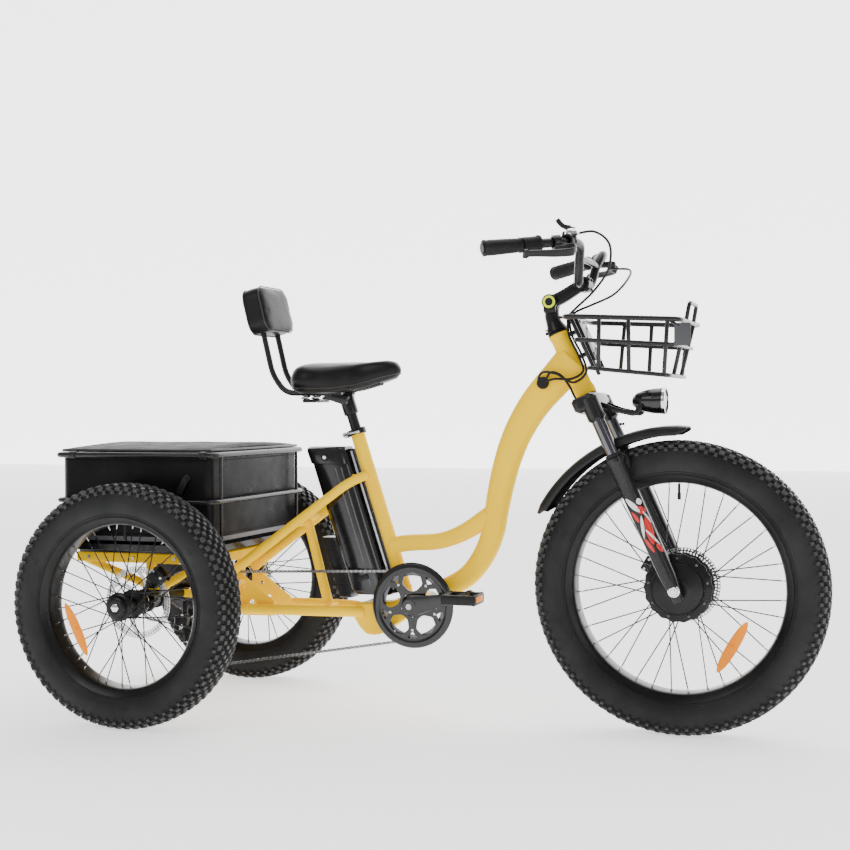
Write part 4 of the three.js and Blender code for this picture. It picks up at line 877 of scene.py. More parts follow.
DOWN_SPINE = [(1050, 903), (1014, 864), (951, 794), (907, 723), (880, 656), (860, 580), (849, 523),
              (840, 474), (817, 417), (774, 362), (700, 320)]
down_tube = ellipse_tube(DOWN_SPINE, lambda t: (25.5 + 19 * (1 - t) ** 1.6, 28.5 - 2 * t), 110)
head_tube = moved(lathe([(r, z) for r, z in eased(
    [(17.5, 0), (26, 0), (26, -9), (24, -14), (25, -HEAD_LENGTH + 26), (28, -HEAD_LENGTH + 14),
     (28, -HEAD_LENGTH), (17.5, -HEAD_LENGTH)], 2.0)], 64), STEERING @ TO_UP)
piece("head_tube", head_tube, YELLOW_WITH_PAINTED_GLOW, "frame", "head_and_down_tube")
piece("down_tube", down_tube, YELLOW_WITH_PAINTED_GLOW, "frame", sharp=180)
gusset = prism([(1003, 890), (985, 868), (962, 832), (942, 800), (952, 792), (1000, 838), (1034, 872)],
               -25, 25)
piece("down_tube_gusset", gusset, YELLOW_WITH_PAINTED_GLOW, "frame", bevel=3)
seat_tube = sweep([on_seat(0, 0, z) for z in np.linspace(0, -443, 30)], circle(18, 40))
piece("seat_tube", seat_tube, YELLOW_WITH_PAINTED_GLOW, "frame", "seat_and_mid_tube")
collar = sweep([on_seat(0, 0, z) for z in (0.4, -1, -12, -13)], circle(1, 40),
               sizes=(18.3, 18.9, 18.9, 18.2))
piece("seat_tube_collar", collar, YELLOW_WITH_PAINTED_GLOW, "frame")
mid_tube = sweep(curve([(572, 0, 430), (600, 0, 438), (640, 0, 442), (699, 0, 447), (761, 0, 469),
                        (832, 0, 514)], 60),
                 oblong(20, 21, 14, 6), up=(0, 0, 1),
                 sizes=[1 + 0.16 * t ** 3 + 0.1 * (1 - t) ** 6 for t in np.linspace(0, 1, 60)])
piece("mid_tube", mid_tube, YELLOW_WITH_PAINTED_GLOW, "frame", sharp=60)
welds = merge(
    weld(on_head(0, 0, -8), (-0.4106, 0, 0.9118), 24.6, 1.3, 40),
    weld((570, 0, 428), (0.93, 0, 0.37), 20.5, 2.0, 46),
    weld((822, 0, 507), (0.85, 0, 0.53), 21.5, 2.0, 46),
    weld(on_seat(0, 0, -425), (-0.3065, 0, 0.9519), 18.4, 2.2, 40),
)
piece("frame_welds", welds, YELLOW_WITH_PAINTED_GLOW, "frame", sharp=180)

bracket = sleeve(17, 22, -35, 35, 1.2, 64)
piece("bottom_bracket_shell", moved(bracket, at(*CRANK)), YELLOW_WITH_PAINTED_GLOW, "frame", "bottom_bracket_and_chainstays")
yoke = prism([(474, 246), (490, 222), (508, 205), (530, 204), (549, 208), (585, 231), (620, 254),
              (652, 269), (668, 300), (660, 318), (630, 318), (604, 304), (588, 293), (540, 288),
              (482, 284)], -29, 29)
piece("bracket_yoke", yoke, YELLOW_WITH_PAINTED_GLOW, "frame", bevel=6)
STAY_Y = 68
stay_end = lathe([(0, -9), (10, -9), (13, -6), (13, 6), (10, 9), (0, 9)], 28, closed=False)
chainstays, seatstays = [], []
for side in (-1, 1):
    route = bent([(500, side * 26, 262), (452, side * 58, 266), (300, side * STAY_Y, 265),
                  (162, side * STAY_Y, 263)], 30, 8)
    chainstays += [tube(route, 13.4, 28), block((26, 7, 22), at(158, side * STAY_Y, 263), 3),
                   weld((196, side * STAY_Y, 264), (1, 0, 0), 13.4, 1.6, 30)]
    up_route = bent([(507, side * 17, 613), (470, side * 59, 592), (147, side * STAY_Y, 358)], 26, 8)
    seatstays += [tube(up_route, 11.9, 28), moved(stay_end, at(150, side * STAY_Y, 361)),
                  weld((486, side * 42, 603), (0.6, -side * 0.75, 0.3), 11.8, 1.5, 28)]
piece("chainstays", merge(*chainstays, rod((395, -STAY_Y, 265), (395, STAY_Y, 265), 10, 24)), YELLOW_WITH_PAINTED_GLOW,
      "frame")
STAY_SLOPE = 0.7244
bridge = block((46, 122, 8), at(330, 0, 358 + (330 - 147) * STAY_SLOPE, -atan(0.72)), 3)
strut = sweep([(336, 0, 490), (345, 0, 455), (392, 0, 277)], circle(1, 28), sizes=(11.8, 12, 12.9))
piece("seat_stays_tubes", merge(*seatstays, bridge), YELLOW_WITH_PAINTED_GLOW, "frame", "seat_stays")
piece("seat_stay_strut", strut, YELLOW_WITH_PAINTED_GLOW, "frame")
piece("strut_welds", merge(weld((391, 0, 281), (-0.24, 0, 0.97), 12.9, 1.8, 40),
                           weld((337, 0, 486), (-0.24, 0, 0.97), 11.8, 1.6, 34)),
      YELLOW_WITH_PAINTED_GLOW, "frame", sharp=180)


def square_tube(a, b, half=12.5, corner=3.0, up=(0, 0, 1)):
    return sweep([a, b], oblong(half, half, corner), up=up)


RAIL_Y, RAIL_Z = 200, 403
subframe = []
for side in (-1, 1):
    plate_at = side * 49
    subframe += [
        holed([(150, 344), (172, 349), (238, 300), (262, 285), (262, 246), (170, 244), (150, 280)],
              [around((200, 276), 10, 20), around((178, 318), 5, 16)], plate_at - 3, plate_at + 3),
        sweep([(16, side * 82, REAR_R), (152, side * 82, REAR_R)], oblong(12, 10, 3)),
        sweep([(147, side * 43, REAR_R), (147, side * 90, REAR_R)], oblong(12, 9, 3)),
        sweep([(100, side * 82, 304), (100, side * 82, 398)], oblong(10, 7, 3), up=(1, 0, 0)),
        square_tube((-226, side * RAIL_Y, RAIL_Z), (165, side * RAIL_Y, RAIL_Z)),
        tube([(-208, side * RAIL_Y, 398), (-22, side * RAIL_Y, 333)], 10.5, 20),
        tube([(148, side * RAIL_Y, 398), (22, side * RAIL_Y, 333)], 10.5, 20),
        block((64, 30, 20), at(0, side * RAIL_Y, 334), 4),
        block((18, 28, 54), at(-14, side * RAIL_Y, 369), 4),
        rod((172, side * 45, 333), (172, side * 77, 333), 9, 24),
    ]
for x in (-213.5, 100, 152.5):
    subframe.append(square_tube((x, -RAIL_Y, RAIL_Z), (x, RAIL_Y, RAIL_Z)))
piece("rear_subframe_tubes", merge(*subframe), YELLOW_WITH_PAINTED_GLOW, "frame", "rear_subframe", bevel=0.8)
pins = [bolt(at(172, side * 78, 333) @ outward(side), 6.5, 4) for side in (-1, 1)]
pins += [bolt(at(x, side * 53, 262) @ outward(side), 5.5, 4) for side in (-1, 1) for x in (182, 240)]
pins += [bolt(at(x, side * 213, RAIL_Z) @ outward(side), 4.5, 3.2)
         for side in (-1, 1) for x in (-190, -60, 60)]
piece("frame_bolts", merge(*pins), STEEL, "frame")


# ---- Axle housing, rear brakes and drive ----
def caliper(centre, rotor_y, angle, arm_to):
    """A two-piston disc caliper over the rotor's edge, on an arm."""
    place = at(centre[0] + PAD_R * cos(angle), rotor_y, centre[2] + PAD_R * sin(angle), -angle)
    body, out = [], 1 if arm_to[1] > rotor_y else -1
    for side in (-1, 1):
        body.append(moved(block((40, 12.5, 38), None, 5), place @ at(-1, side * 10.2, 0)))
        body.append(moved(disc(13, (-3, 0), side * 14, side * 19, 32), place))
    body.append(moved(block((13, 32, 38), None, 4), place @ at(15.5, 0, 0)))
    body.append(moved(rod((14, 6, -14), (14, 6, -27), 5, 16), place))
    body.append(rod((place @ Vector((2, out * 12, -6)))[:], arm_to, 7, 16))
    heads = [bolt(place @ at(x, -out * 18.8, z) @ outward(-out), 3.6, 2.2)
             for x, z in ((12, 13), (12, -13))]
    return merge(*body), merge(*heads)


housing = []
for y0, y1 in ((-262, -68), (36, 262)):
    housing.append(moved(sleeve(10.5, 21, y0, y1, 1.5, 48), at(0, 0, REAR_R)))
for side in (-1, 1):
    flange = sleeve(12, 30, side * 248, side * 262, 2.0, 56)
    housing.append(moved(flange, at(0, 0, REAR_R)))
    for y in (200, 110):
        clamp = sleeve(20.5, 25, side * (y - 9), side * (y + 9), 1.2, 48)
        if not (side < 0 and y == 110):
            housing.append(moved(clamp, at(0, 0, REAR_R)))
housing += [block((12, 180, 40), at(-70, 0, REAR_R), 4), block((76, 14, 34), at(-38, -88, REAR_R), 4),
            block((76, 14, 34), at(-38, 76, REAR_R), 4)]
piece("axle_tubes", merge(*housing), ALLOY, "frame", "axle_housing")
for prefix, side in (("right", -1), ("left", 1)):
    body, heads = caliper((0, 0, REAR_R), side * 290.5, 0.85, (20, side * 255, REAR_R + 42))
    foot = block((40, 12, 18), at(14, side * 255, REAR_R + 40), 3)
    piece(f"{prefix}_rear_brake", merge(body, foot), ALLOY, "frame", f"{prefix}_rear_caliper")
    piece(f"{prefix}_rear_brake_bolts", heads, STEEL, "frame")

cogs = [toothed(26, CASSETTE_R - 5.2, CASSETTE_R - 0.6, 36, CHAIN_Y - 1.2, CHAIN_Y + 1.2),
        toothed(20, 36.5, 41.6, 30, CHAIN_Y - 6.4, CHAIN_Y - 4.4),
        toothed(17, 31.5, 36.6, 25, CHAIN_Y - 9.9, CHAIN_Y - 7.9),
        sleeve(9.5, 31, CHAIN_Y - 14, CHAIN_Y + 6, 1.5, 60)]
piece("rear_sprockets", moved(merge(*cogs), at(0, 0, REAR_R)), DARK_STEEL, "sprockets",
      "cassette_and_differential", sharp=30)
case = merge(lathe(eased([(9.5, CHAIN_Y + 5.2), (39, CHAIN_Y + 5.2), (39.5, -30), (35, -26), (35, 12),
                          (39.5, 16), (39, 29.6), (9.5, 29.6)], 2), 72),
             ring_of(bolt(at(0, 29, 0), 3.4, 2.6), 6, 28))
piece("differential_case", moved(case, at(0, 0, REAR_R)), ALLOY, "sprockets")

# Chainwheel with its guard, spider and the two crank arms.
guard_y = CHAIN_Y - 6.5
windows, small = [], []
for i in range(5):
    a = radians(18 + 72 * i)
    corners = []
    for r, turn in ((37, -0.25), (37, 0.25), (60, 0.47), (79, 0.27), (84, 0), (79, -0.27), (60, -0.47)):
        corners.append((r * cos(a + turn), r * sin(a + turn)))
    windows.append([tuple(p) for p in rounded_loop(corners, 6.5, 4)])
    b = a + radians(36)
    tri = [(r * cos(b + turn), r * sin(b + turn)) for r, turn in ((66, 0), (82, 0.17), (85, 0),
                                                                  (82, -0.17))]
    small.append([tuple(p) for p in rounded_loop(tri, 2.6, 3)])
spider = holed(around((0, 0), 89, 120), [*windows, *small, around((0, 0), 9.5, 40)], guard_y - 1.5,
               guard_y + 1.5)
hoop = lathe(eased([(87.5, guard_y + 1.5), (87.5, guard_y - 2.4), (94, guard_y - 4.2), (104, guard_y - 2.6),
                    (107.6, guard_y + 0.6), (107.6, guard_y + 1.8)], 1.2), 144)
place = at(*CRANK)
piece("chain_guard", moved(merge(spider, hoop), place), GLOSS, "crankset", "right_crank_and_chainring",
      bevel=0.5)
teeth = toothed(44, CHAINRING_R - 5.6, CHAINRING_R - 0.4, 74, CHAIN_Y - 1.3, CHAIN_Y + 1.3)
hub_disc = lathe(eased([(9.2, CHAIN_Y - 20), (23.5, CHAIN_Y - 20), (29, CHAIN_Y - 9), (29, guard_y),
                        (9.2, guard_y)], 1.6), 60)
piece("chainring_teeth", moved(teeth, place), DARK_STEEL, "crankset", sharp=30)
piece("chainring_hub", moved(hub_disc, place), ALLOY, "crankset")
studs = merge(*[moved(bolt(at(0, -guard_y + 1, 0), 3.6, 2.4), TO_RIGHT
                      @ Matrix.Rotation(radians(54 + 72 * i), 4, "Y") @ at(r, 0, 0))
                for i in range(5) for r in (27, 62)])
piece("chainring_bolts", moved(studs, place), STEEL, "crankset")
piece("crank_axle", moved(sleeve(0, 8.4, -80, 80, 0.8, 40), place), STEEL, "crankset")


def crank_arm(side, y, inner):
    """A crank arm at y with its boss reaching in to inner, and its placement."""
    heading = at(CRANK[0], 0, CRANK[2], -CRANK_RISE + (0 if side < 0 else pi))
    rings = []
    for t in np.linspace(0, 1, 22):
        x = CRANK_LENGTH * t
        half = 16.5 * (1 - t) ** 1.6 + 11 + 2.6 * max(0, (t - 0.86) / 0.14) ** 2
        deep = 7.4 - 1.3 * sin(pi * t)
        rings.append([(x, y + u, v) for u, v in oblong(deep, half, 4.5, 5)])
    ends = [disc(19.5, (0, 0), inner, y + side * 7.6, 56, 1.6),
            disc(13.6, (CRANK_LENGTH, 0), y - 7.8, y + 7.8, 48, 1.4)]
    arm = merge(loft(rings), *ends)
    return moved(arm, heading), heading


for side, prefix, inner in ((-1, "right", CHAIN_Y - 8), (1, "left", 44)):
    arm, heading = crank_arm(side, side * CRANK_Y, inner)
    piece(f"{prefix}_crank", arm, GLOSS, "crankset", () if side < 0 else "left_crank_arm", bevel=0.6)
    cap = merge(disc(7.5, (0, 0), side * 85, side * 87.2, 36, 0.5),
                disc(6.4, (CRANK_LENGTH, 0), side * 85.6, side * 87.4, 6, 0.4))
    piece(f"{prefix}_crank_cap", moved(cap, heading), STEEL, "crankset")
    pedal_at = heading @ at(CRANK_LENGTH, 0,
                            0) @ Matrix.Rotation(CRANK_RISE - (0 if side < 0 else pi), 4, "Y")
    y = side * 134
    parts = [block((86, 9, 24), at(0, y - 37, 0), 4), block((86, 9, 24), at(0, y + 37, 0), 4),
             block((9, 84, 24), at(-38.5, y, 0), 4), block((9, 84, 24), at(38.5, y, 0), 4),
             block((24, 82, 17), at(0, y, 0), 5)]
    for x in (-38.5, 38.5, -6, 6):
        for k in range(7):
            stud = block((5, 4, 3.2), at(x, y - 33 + 11 * k, 12 if abs(x) > 10 else 9.4), 1)
            parts.append(stud)
            parts.append(block((5, 4, 3.2), at(x, y - 33 + 11 * k, -12 if abs(x) > 10 else -9.4), 1))
    piece(f"{prefix}_pedal_cage", moved(merge(*parts), pedal_at), PLASTIC, f"{prefix}_pedal_body",
          f"{prefix}_pedal", bevel=0.5)
    axle = merge(disc(5.8, (0, 0), side * 71, side * 92, 30, 0.5),
                 disc(7.6, (0, 0), side * 86.5, side * 91, 6, 0.5))
    piece(f"{prefix}_pedal_axle", moved(axle, pedal_at), STEEL, f"{prefix}_pedal_body")
    lens = merge(*[block((3.4, 54, 14), at(x, y, 0), 1.4) for x in (-42.2, 42.2)])
    piece(f"{prefix}_pedal_reflectors", moved(lens, pedal_at), REFLECTOR_WITH_PAINTED_GLOW, f"{prefix}_pedal_body")

# Chain: the same loop as the CAD's band, laid out link by link.
UPPER_PULLEY = (4, 214)
LOWER_PULLEY = (44, 116)
PULLEY_R = 17


def arc(centre, radius, start, end, steps):
    return [(centre[0] + radius * cos(radians(a)), centre[1] + radius * sin(radians(a)))
            for a in np.linspace(start, end, steps + 1)]


loop = [*arc((CRANK[0], CRANK[2]), CHAINRING_R - 3.4, -87, 93, 40),
        *arc((0, REAR_R), CASSETTE_R - 3.2, 93, 262, 26), *arc(UPPER_PULLEY, PULLEY_R, 62, -60, 12),
        *arc(LOWER_PULLEY, PULLEY_R, 158, 282, 12)]
loop = np.array([*loop, loop[0]])
CHAIN_LENGTH = distances(loop)[-1]
CHAIN_PITCH = 12.7
LINKS = 2 * round(CHAIN_LENGTH / CHAIN_PITCH / 2)
pins_at = spaced(loop, np.arange(LINKS) * CHAIN_LENGTH / LINKS)
link_end = around((0, 0), 3.7, 12)
links, rollers = [], []
for i in range(LINKS):
    (ax, az), (bx, bz) = pins_at[i], pins_at[(i + 1) % LINKS]
    angle, length = atan2(bz - az, bx - ax), hypot(bx - ax, bz - az)
    far_end = [(x + length, z) for x, z in link_end[9:] + link_end[:4]]
    outline = [*link_end[3:10], (length / 2, -2.6), *far_end, (length / 2, 2.6)]
    far, near = (3.3, 2.3) if i % 2 else (2.2, 1.2)
    here = at(ax, CHAIN_Y, az, -angle)
    links += [moved(prism(outline, near, far), here), moved(prism(outline, -far, -near), here)]
    rollers.append(disc(3.5, (ax, az), CHAIN_Y - 1.15, CHAIN_Y + 1.15, 10, 0.2))
    rollers.append(disc(1.7, (ax, az), CHAIN_Y - 3.45, CHAIN_Y + 3.45, 8, 0.2))
piece("chain_links", merge(*links), CHAIN, "frame", "chain", sharp=30)
piece("chain_rollers", merge(*rollers), STEEL, "frame", sharp=30)

body = merge(block((15, 9, 56), at(12, -73, 249), 4), block((38, 22, 28), at(6, -80, 226), 7),
             block((20, 8, 44), at(2, -88, 222, 0.5), 4), rod((4, -86, 214), (4, CHAIN_Y - 13, 214), 9, 28),
             rod((14, -92, 242), (14, -66, 242), 6, 20))
piece("derailleur_body", body, ALLOY, "frame", "derailleur", bevel=0.6)
knuckle = merge(disc(10, UPPER_PULLEY, -91, -87, 36), disc(4.2, UPPER_PULLEY, -92, -90, 6, 0.3),
                disc(4.5, (14, 242), -93.5, -91, 6, 0.3))
piece("derailleur_bolts", knuckle, STEEL, "frame")
side_plate = curve([(4, 222), (22, 160), (44, 104)], 15)
left = [(x - 10.5, z - 2) for x, z in side_plate]
right = [(x + 10.5, z + 2) for x, z in side_plate]
outline = [*left, *[(44 + 10.5 * cos(a), 104 + 8 * sin(a)) for a in np.linspace(pi, TAU, 8)][1:-1],
           *right[::-1], *[(4 + 10.5 * cos(a), 224 + 8 * sin(a)) for a in np.linspace(0, pi, 8)][1:-1]]
window = [tuple(p) for p in rounded_loop([(14, 196), (21, 192), (34, 150), (36, 136), (29, 138),
                                          (16, 172)], 3, 3)]
cage = merge(holed(outline, [window], CHAIN_Y - 11, CHAIN_Y - 9),
             holed(outline, [window], CHAIN_Y + 9, CHAIN_Y + 11))
piece("derailleur_cage_plates", cage, DARK_ALLOY, "cage", "derailleur_cage", bevel=0.3)
jockeys = []
for x, z in (UPPER_PULLEY, LOWER_PULLEY):
    wheel_shape = merge(toothed(11, 14.2, 18.2, 4.6, -1.1, 1.1),
                        lathe([(4.6, -3.4), (7, -3.4), (7, 3.4), (4.6, 3.4)], 24),
                        lathe([(0, -10.6), (3.2, -10.6), (3.2, 10.6), (0, 10.6)], 16, closed=False))
    jockeys.append(moved(wheel_shape, at(x, CHAIN_Y, z)))
piece("jockey_wheels", merge(*jockeys), PLASTIC, "cage", sharp=30)


# ---- Fork, made about the steering axis, then the front mudguard and the lamp ----
def on_steering(shape):
    return moved(shape, STEERING)


crown_outline = [(-26, -176), (-18, -169), (24, -169), (34, -176), (36.7, -190), (33, -204), (24, -209),
                 (-16, -209), (-26, -200)]
crown = loft([[(x * s + 5 * (1 - s), y, (z + 189) * s - 189 + 1.5 * (1 - s)) for x, z in crown_outline]
              for y, s in ((-96, 0.55), (-92, 0.78), (-84, 0.94), (-60, 1), (-24, 1.06), (24, 1.06),
                           (60, 1), (84, 0.94), (92, 0.78), (96, 0.55))])
crown_parts = [crown, rod((0, 0, -179), (0, 0, 2), 14, 32)]
for side in (-1, 1):
    crown_parts.append(rod((FORK_OFFSET, side * LEG_Y, -176), (FORK_OFFSET, side * LEG_Y, -240), 22, 40))
piece("fork_crown", on_steering(merge(*crown_parts)), PAINT, "steering_column", "fork_crown_and_stanchions",
      sharp=30)
stanchions = [rod((FORK_OFFSET, side * LEG_Y, -236), (FORK_OFFSET, side * LEG_Y, -520), 16, 48)
              for side in (-1, 1)]
piece("stanchions", on_steering(merge(*stanchions)), STANCHION, "steering_column")
cups = merge(*[moved(sleeve(15.5, r, z0, z1, 1.0, 56), TO_UP)
               for z0, z1, r in ((-167.5, -HEAD_LENGTH - 0.4, 27.6), (0.4, 4.2, 26.4))])
piece("headset_cups", on_steering(cups), PAINT, "steering_column")

lowers, leg_x = [], FORK_OFFSET
for side in (-1, 1):
    ring_path = [(leg_x, side * LEG_Y, z) for z in (-335, -338, -344, -352, -356, -640, -662, -680, -692)]
    lowers.append(tube(ring_path, [22.4, 23.6, 23.6, 23, 21.5, 20, 17.5, 15, 11], 40))
    lowers.append(sweep([(leg_x, side * (LEG_Y - 2), -640), (leg_x, side * LEG_Y, -664),
                         (leg_x, side * LEG_Y, -706)], oblong(12, 9, 5),
                        up=(1, 0, 0), sizes=(0.9, 1.25, 1.0)))
arch_line = bent([on_head(leg_x + 14, -LEG_Y, -372), on_head(leg_x + 22, -70, -344),
                  on_head(leg_x + 22, -46, -330), on_head(leg_x + 22, 46, -330),
                  on_head(leg_x + 22, 70, -344), on_head(leg_x + 14, LEG_Y, -372)], 12, 5)
arch = sweep(arch_line, oblong(11, 5.5, 4), up=STEERING.to_3x3() @ Vector((0, 0, 1)))
piece("fork_lower_legs_tubes", merge(on_steering(merge(*lowers)), arch), PAINT, "fork_lower_legs",
      "fork_lowers", sharp=34)
wipers = merge(*[moved(lathe(eased([(16.2, 0), (20.6, 0), (20, 8), (16.4, 9)], 1.2), 48),
                       at(leg_x, side * LEG_Y, -335) @ TO_UP) for side in (-1, 1)])
piece("fork_wipers", on_steering(wipers), GRIP, "fork_lower_legs")
axle = [rod((leg_x, side * 48, -HUB_DROP), (leg_x, side * 98, -HUB_DROP), 7, 24) for side in (-1, 1)]
nuts = [nut(at(leg_x, side * 88, -HUB_DROP) @ outward(side), 12, 9, 0.5) for side in (-1, 1)]
nuts += [disc(14.5, (leg_x, -HUB_DROP), side * 85.6, side * 88, 40) for side in (-1, 1)]
piece("front_axle", on_steering(merge(*axle)), STEEL, "fork_lower_legs")
piece("front_axle_nuts", on_steering(merge(*nuts)), CHROME, "fork_lower_legs")


def leg_patch(around_from, around_to, top, low, lean=0.0):
    """A thin decal wrapped on the right leg: angles round the leg, then heights along it."""
    rows = []
    for t in np.linspace(0, 1, 22):
        width = sin(pi * min(1, max(0, t))) ** 0.6
        middle = (around_from + around_to) / 2 + lean * (t - 0.5)
        half = (around_to - around_from) / 2 * width
        z = top + (low - top) * t
        radius = (21.5 + (20 - 21.5) * max(0, (-356 - z) / 284)) + 0.25
        row = [(leg_x + radius * cos(a), -LEG_Y + radius * sin(a), z)
               for a in np.linspace(middle - half, middle + half, 9)]
        inner = [(leg_x + (radius - 0.6) * cos(a), -LEG_Y + (radius - 0.6) * sin(a), z)
                 for a in np.linspace(middle + half, middle - half, 9)]
        rows.append([*row, *inner])
    return on_steering(loft(rows))


whites = [leg_patch(-2.1, -1.4, -436, -478, 0.9), leg_patch(-1.2, -0.5, -446, -462, 0.0),
          leg_patch(-1.9, -1.5, -486, -540, -0.8), leg_patch(-1.2, -0.9, -520, -566, 0.9),
          leg_patch(-0.8, -0.55, -478, -512, 0.5)]
reds = [leg_patch(-1.5, -0.5, -464, -486, 0.2), leg_patch(-2.3, -1.75, -470, -500, 0.4),
        leg_patch(-1.55, -0.6, -490, -560, -0.5), leg_patch(-2.1, -1.6, -536, -578, 0.5),
        leg_patch(-1.1, -0.5, -560, -584, 0.3)]
piece("leg_decal_white", merge(*whites), WHITE, "fork_lower_legs", sharp=180)
piece("leg_decal_red", merge(*reds), RED, "fork_lower_legs", sharp=180)

body, heads = caliper((leg_x, 0, -HUB_DROP), 54, 2.2, (-6, 66, -612))
foot = block((34, 12, 18), at(-6, 66, -610, -0.6), 3)
piece("front_brake", on_steering(merge(body, foot)), ALLOY, "fork_lower_legs", "front_caliper")
piece("front_brake_bolts", on_steering(heads), STEEL, "fork_lower_legs")

fender_rows = []
for a in np.linspace(radians(153), radians(86.5), 72):
    end = min(1.0, (a - radians(86.5)) / 0.09 + 0.35, (radians(153) - a) / 0.09 + 0.35)
    section = []
    for y, drop in ((-56, 22), (-55, 12), (-50, 5), (-38, 1.2), (-18, 0), (0, -0.4), (18, 0), (38, 1.2),
                    (50, 5), (55, 12), (56, 22)):
        section.append((387 - drop * end - 3 * (1 - end), y * (0.55 + 0.45 * end) if end < 1 else y))
    ring = [(WHEELBASE + r * cos(a), y, FRONT_R + r * sin(a)) for r, y in section]
    ring += [(WHEELBASE + (r - 2.6) * cos(a), y * 0.965, FRONT_R + (r - 2.6) * sin(a))
             for r, y in section[::-1]]
    fender_rows.append(ring)
piece("mudguard", loft(fender_rows), PLASTIC, "fork_lower_legs", "front_fender", sharp=60)
tab = [block((12, 40, 3), at(*on_head(leg_x + 20, 0, -328), -0.2), 1),
       bolt(at(1166, -16, 742, -1.2, "Y"), 3.6, 2.4), bolt(at(1166, 16, 742, -1.2, "Y"), 3.6, 2.4)]
piece("mudguard_tab", merge(*tab), PAINT, "fork_lower_legs")

lamp_at = at(1236, 0, 797) @ TO_FRONT
shell = lathe(eased([(0, -46), (10, -43), (19, -34), (26, -16), (30, 6), (31.2, 26), (32, 28), (32, 36),
                     (29, 37), (28, 31), (0, 29)], 2), 72, closed=False)
piece("lamp_shell", moved(shell, lamp_at), GLOSS, "lamp", "headlight")
piece("lamp_bezel", moved(lathe(eased([(28.6, 30), (32.3, 30), (32.6, 37.2), (30, 38.4)], 0.8), 72),
                          lamp_at), CHROME, "lamp")
mirror = lathe([(4, 8), (14, 14), (22, 24), (27, 33.5), (27.3, 33.5), (22.6, 23), (14.4, 12.6),
                (4, 6.6)], 64)
piece("lamp_mirror", moved(mirror, lamp_at), CHROME, "lamp")
piece("lamp_glass", moved(lathe([(0, 36.6), (14, 36.2), (27, 34.4), (27, 33), (14, 34.6), (0, 35)], 64,
                                closed=False), lamp_at), GLASS, "lamp")
piece("lamp_pivot", merge(rod((1216, -29, 786), (1216, 29, 786), 5, 20),
                          block((16, 20, 14), at(1220, 0, 780), 3)), PAINT, "lamp")
hanger = []
for side in (-1, 1):
    hanger.append(sweep(bent([on_head(24, side * 38, -196), (1158, side * 38, 776), (1206, side * 36, 766),
                              (1216, side * 33, 784)], 8, 4),
                        oblong(6, 1.6, 1.2), up=(0, 0, 1)))
piece("lamp_hanger", merge(*hanger), PAINT, "steering_column")

# ---- Stem, bar and controls ----
JOINT = (992, 0, 1041)
CLAMP = (1072, 0, 1082)
neck_path = [on_head(0, 0, 4), on_head(0, 0, 12), on_head(0.5, 0, 24), on_head(1, 0, 34), on_head(3, 0, 46),
             (993, 0, 1022), (992, 0, 1036)]
neck = tube(neck_path, [26, 25.4, 20.5, 18.4, 18, 17, 15], 48)
fork_boss = merge(disc(19, (JOINT[0], JOINT[2]), -24, -13.4, 56, 1.4),
                  disc(19, (JOINT[0], JOINT[2]), 13.4, 24, 56, 1.4),
                  block((30, 11, 28), at(992, -18.5, 1028), 4), block((30, 11, 28), at(992, 18.5, 1028), 4))
piece("stem_column", merge(neck, fork_boss), ALLOY, "steering_column", "stem_neck")
accents = [disc(15.4, (JOINT[0], JOINT[2]), side * 24, side * 25.6, 48, 0.5) for side in (-1, 1)]
accents.append(block((5, 22, 3), at(*on_head(-24.2, 0, 20), -HEAD_TILT), 1))
piece("stem_accents", merge(*accents), LIME, "steering_column")
plugs = merge(*[disc(9.6, (JOINT[0], JOINT[2]), side * 24.6, side * 27, 40, 0.8) for side in (-1, 1)],
              *[bolt(at(*on_head(-24, side * 9, 11)) @ TO_BACK, 3.6, 4) for side in (-1, 1)])
piece("stem_pivot_bolts", plugs, PAINT, "steering_column")
arm_line = curve([(992, 0, 1041), (1018, 0, 1052), (1046, 0, 1068), (1060, 0, 1076)], 14)
arm = sweep(arm_line, oblong(1, 1, 0.42, 6), up=(0, 0, 1),
            sizes=[(16 - 1.5 * t, 12.4) for t in np.linspace(0, 1, 14)])
clamp_shape = merge(arm, disc(18, (JOINT[0], JOINT[2]), -12.6, 12.6, 56, 1.6),
                    disc(19.6, (CLAMP[0], CLAMP[2]), -24, 24, 64, 2.2))
piece("stem_arm_shell", clamp_shape, ALLOY, "bar", "stem_arm")
face = merge(*[bolt(at(1087, y, z) @ TO_FRONT, 3.4, 5) for y in (-16, 16) for z in (1093, 1070)],
             block((9, 46, 36), at(1084.5, 0, 1081.5), 3))
piece("stem_face_plate", face, DARK_ALLOY, "bar")

HALF_BAR = [(1072, 14, 1082), (1072, 46, 1082), (1076, 66, 1088), (1084, 92, 1132), (1092, 122, 1163),
            (1080, 180, 1166), (1045, 232, 1160), (918, 330, 1143)]
half = curve(HALF_BAR[:-1], 60)
bar_path = np.vstack([[(918, -330, 1143)], (half * (1, -1, 1))[::-1], half, [(918, 330, 1143)]])
piece("handlebar_tube", tube(bar_path, 11.1, 28), PAINT, "bar", "handlebar", sharp=60)
piece("bar_crossbar", tube(curve([(1084, -92, 1132), (1086, -60, 1136), (1087, 0, 1137), (1086, 60, 1136),
                                  (1084, 92, 1132)], 30), 8, 20), PAINT, "bar")


def grip_point(side, t):
    """A point on the bar's straight end: 0 at its inner end, 1 at its tip."""
    a, b = np.array((1045, side * 232, 1160)), np.array((918, side * 330, 1143))
    return a + (b - a) * t


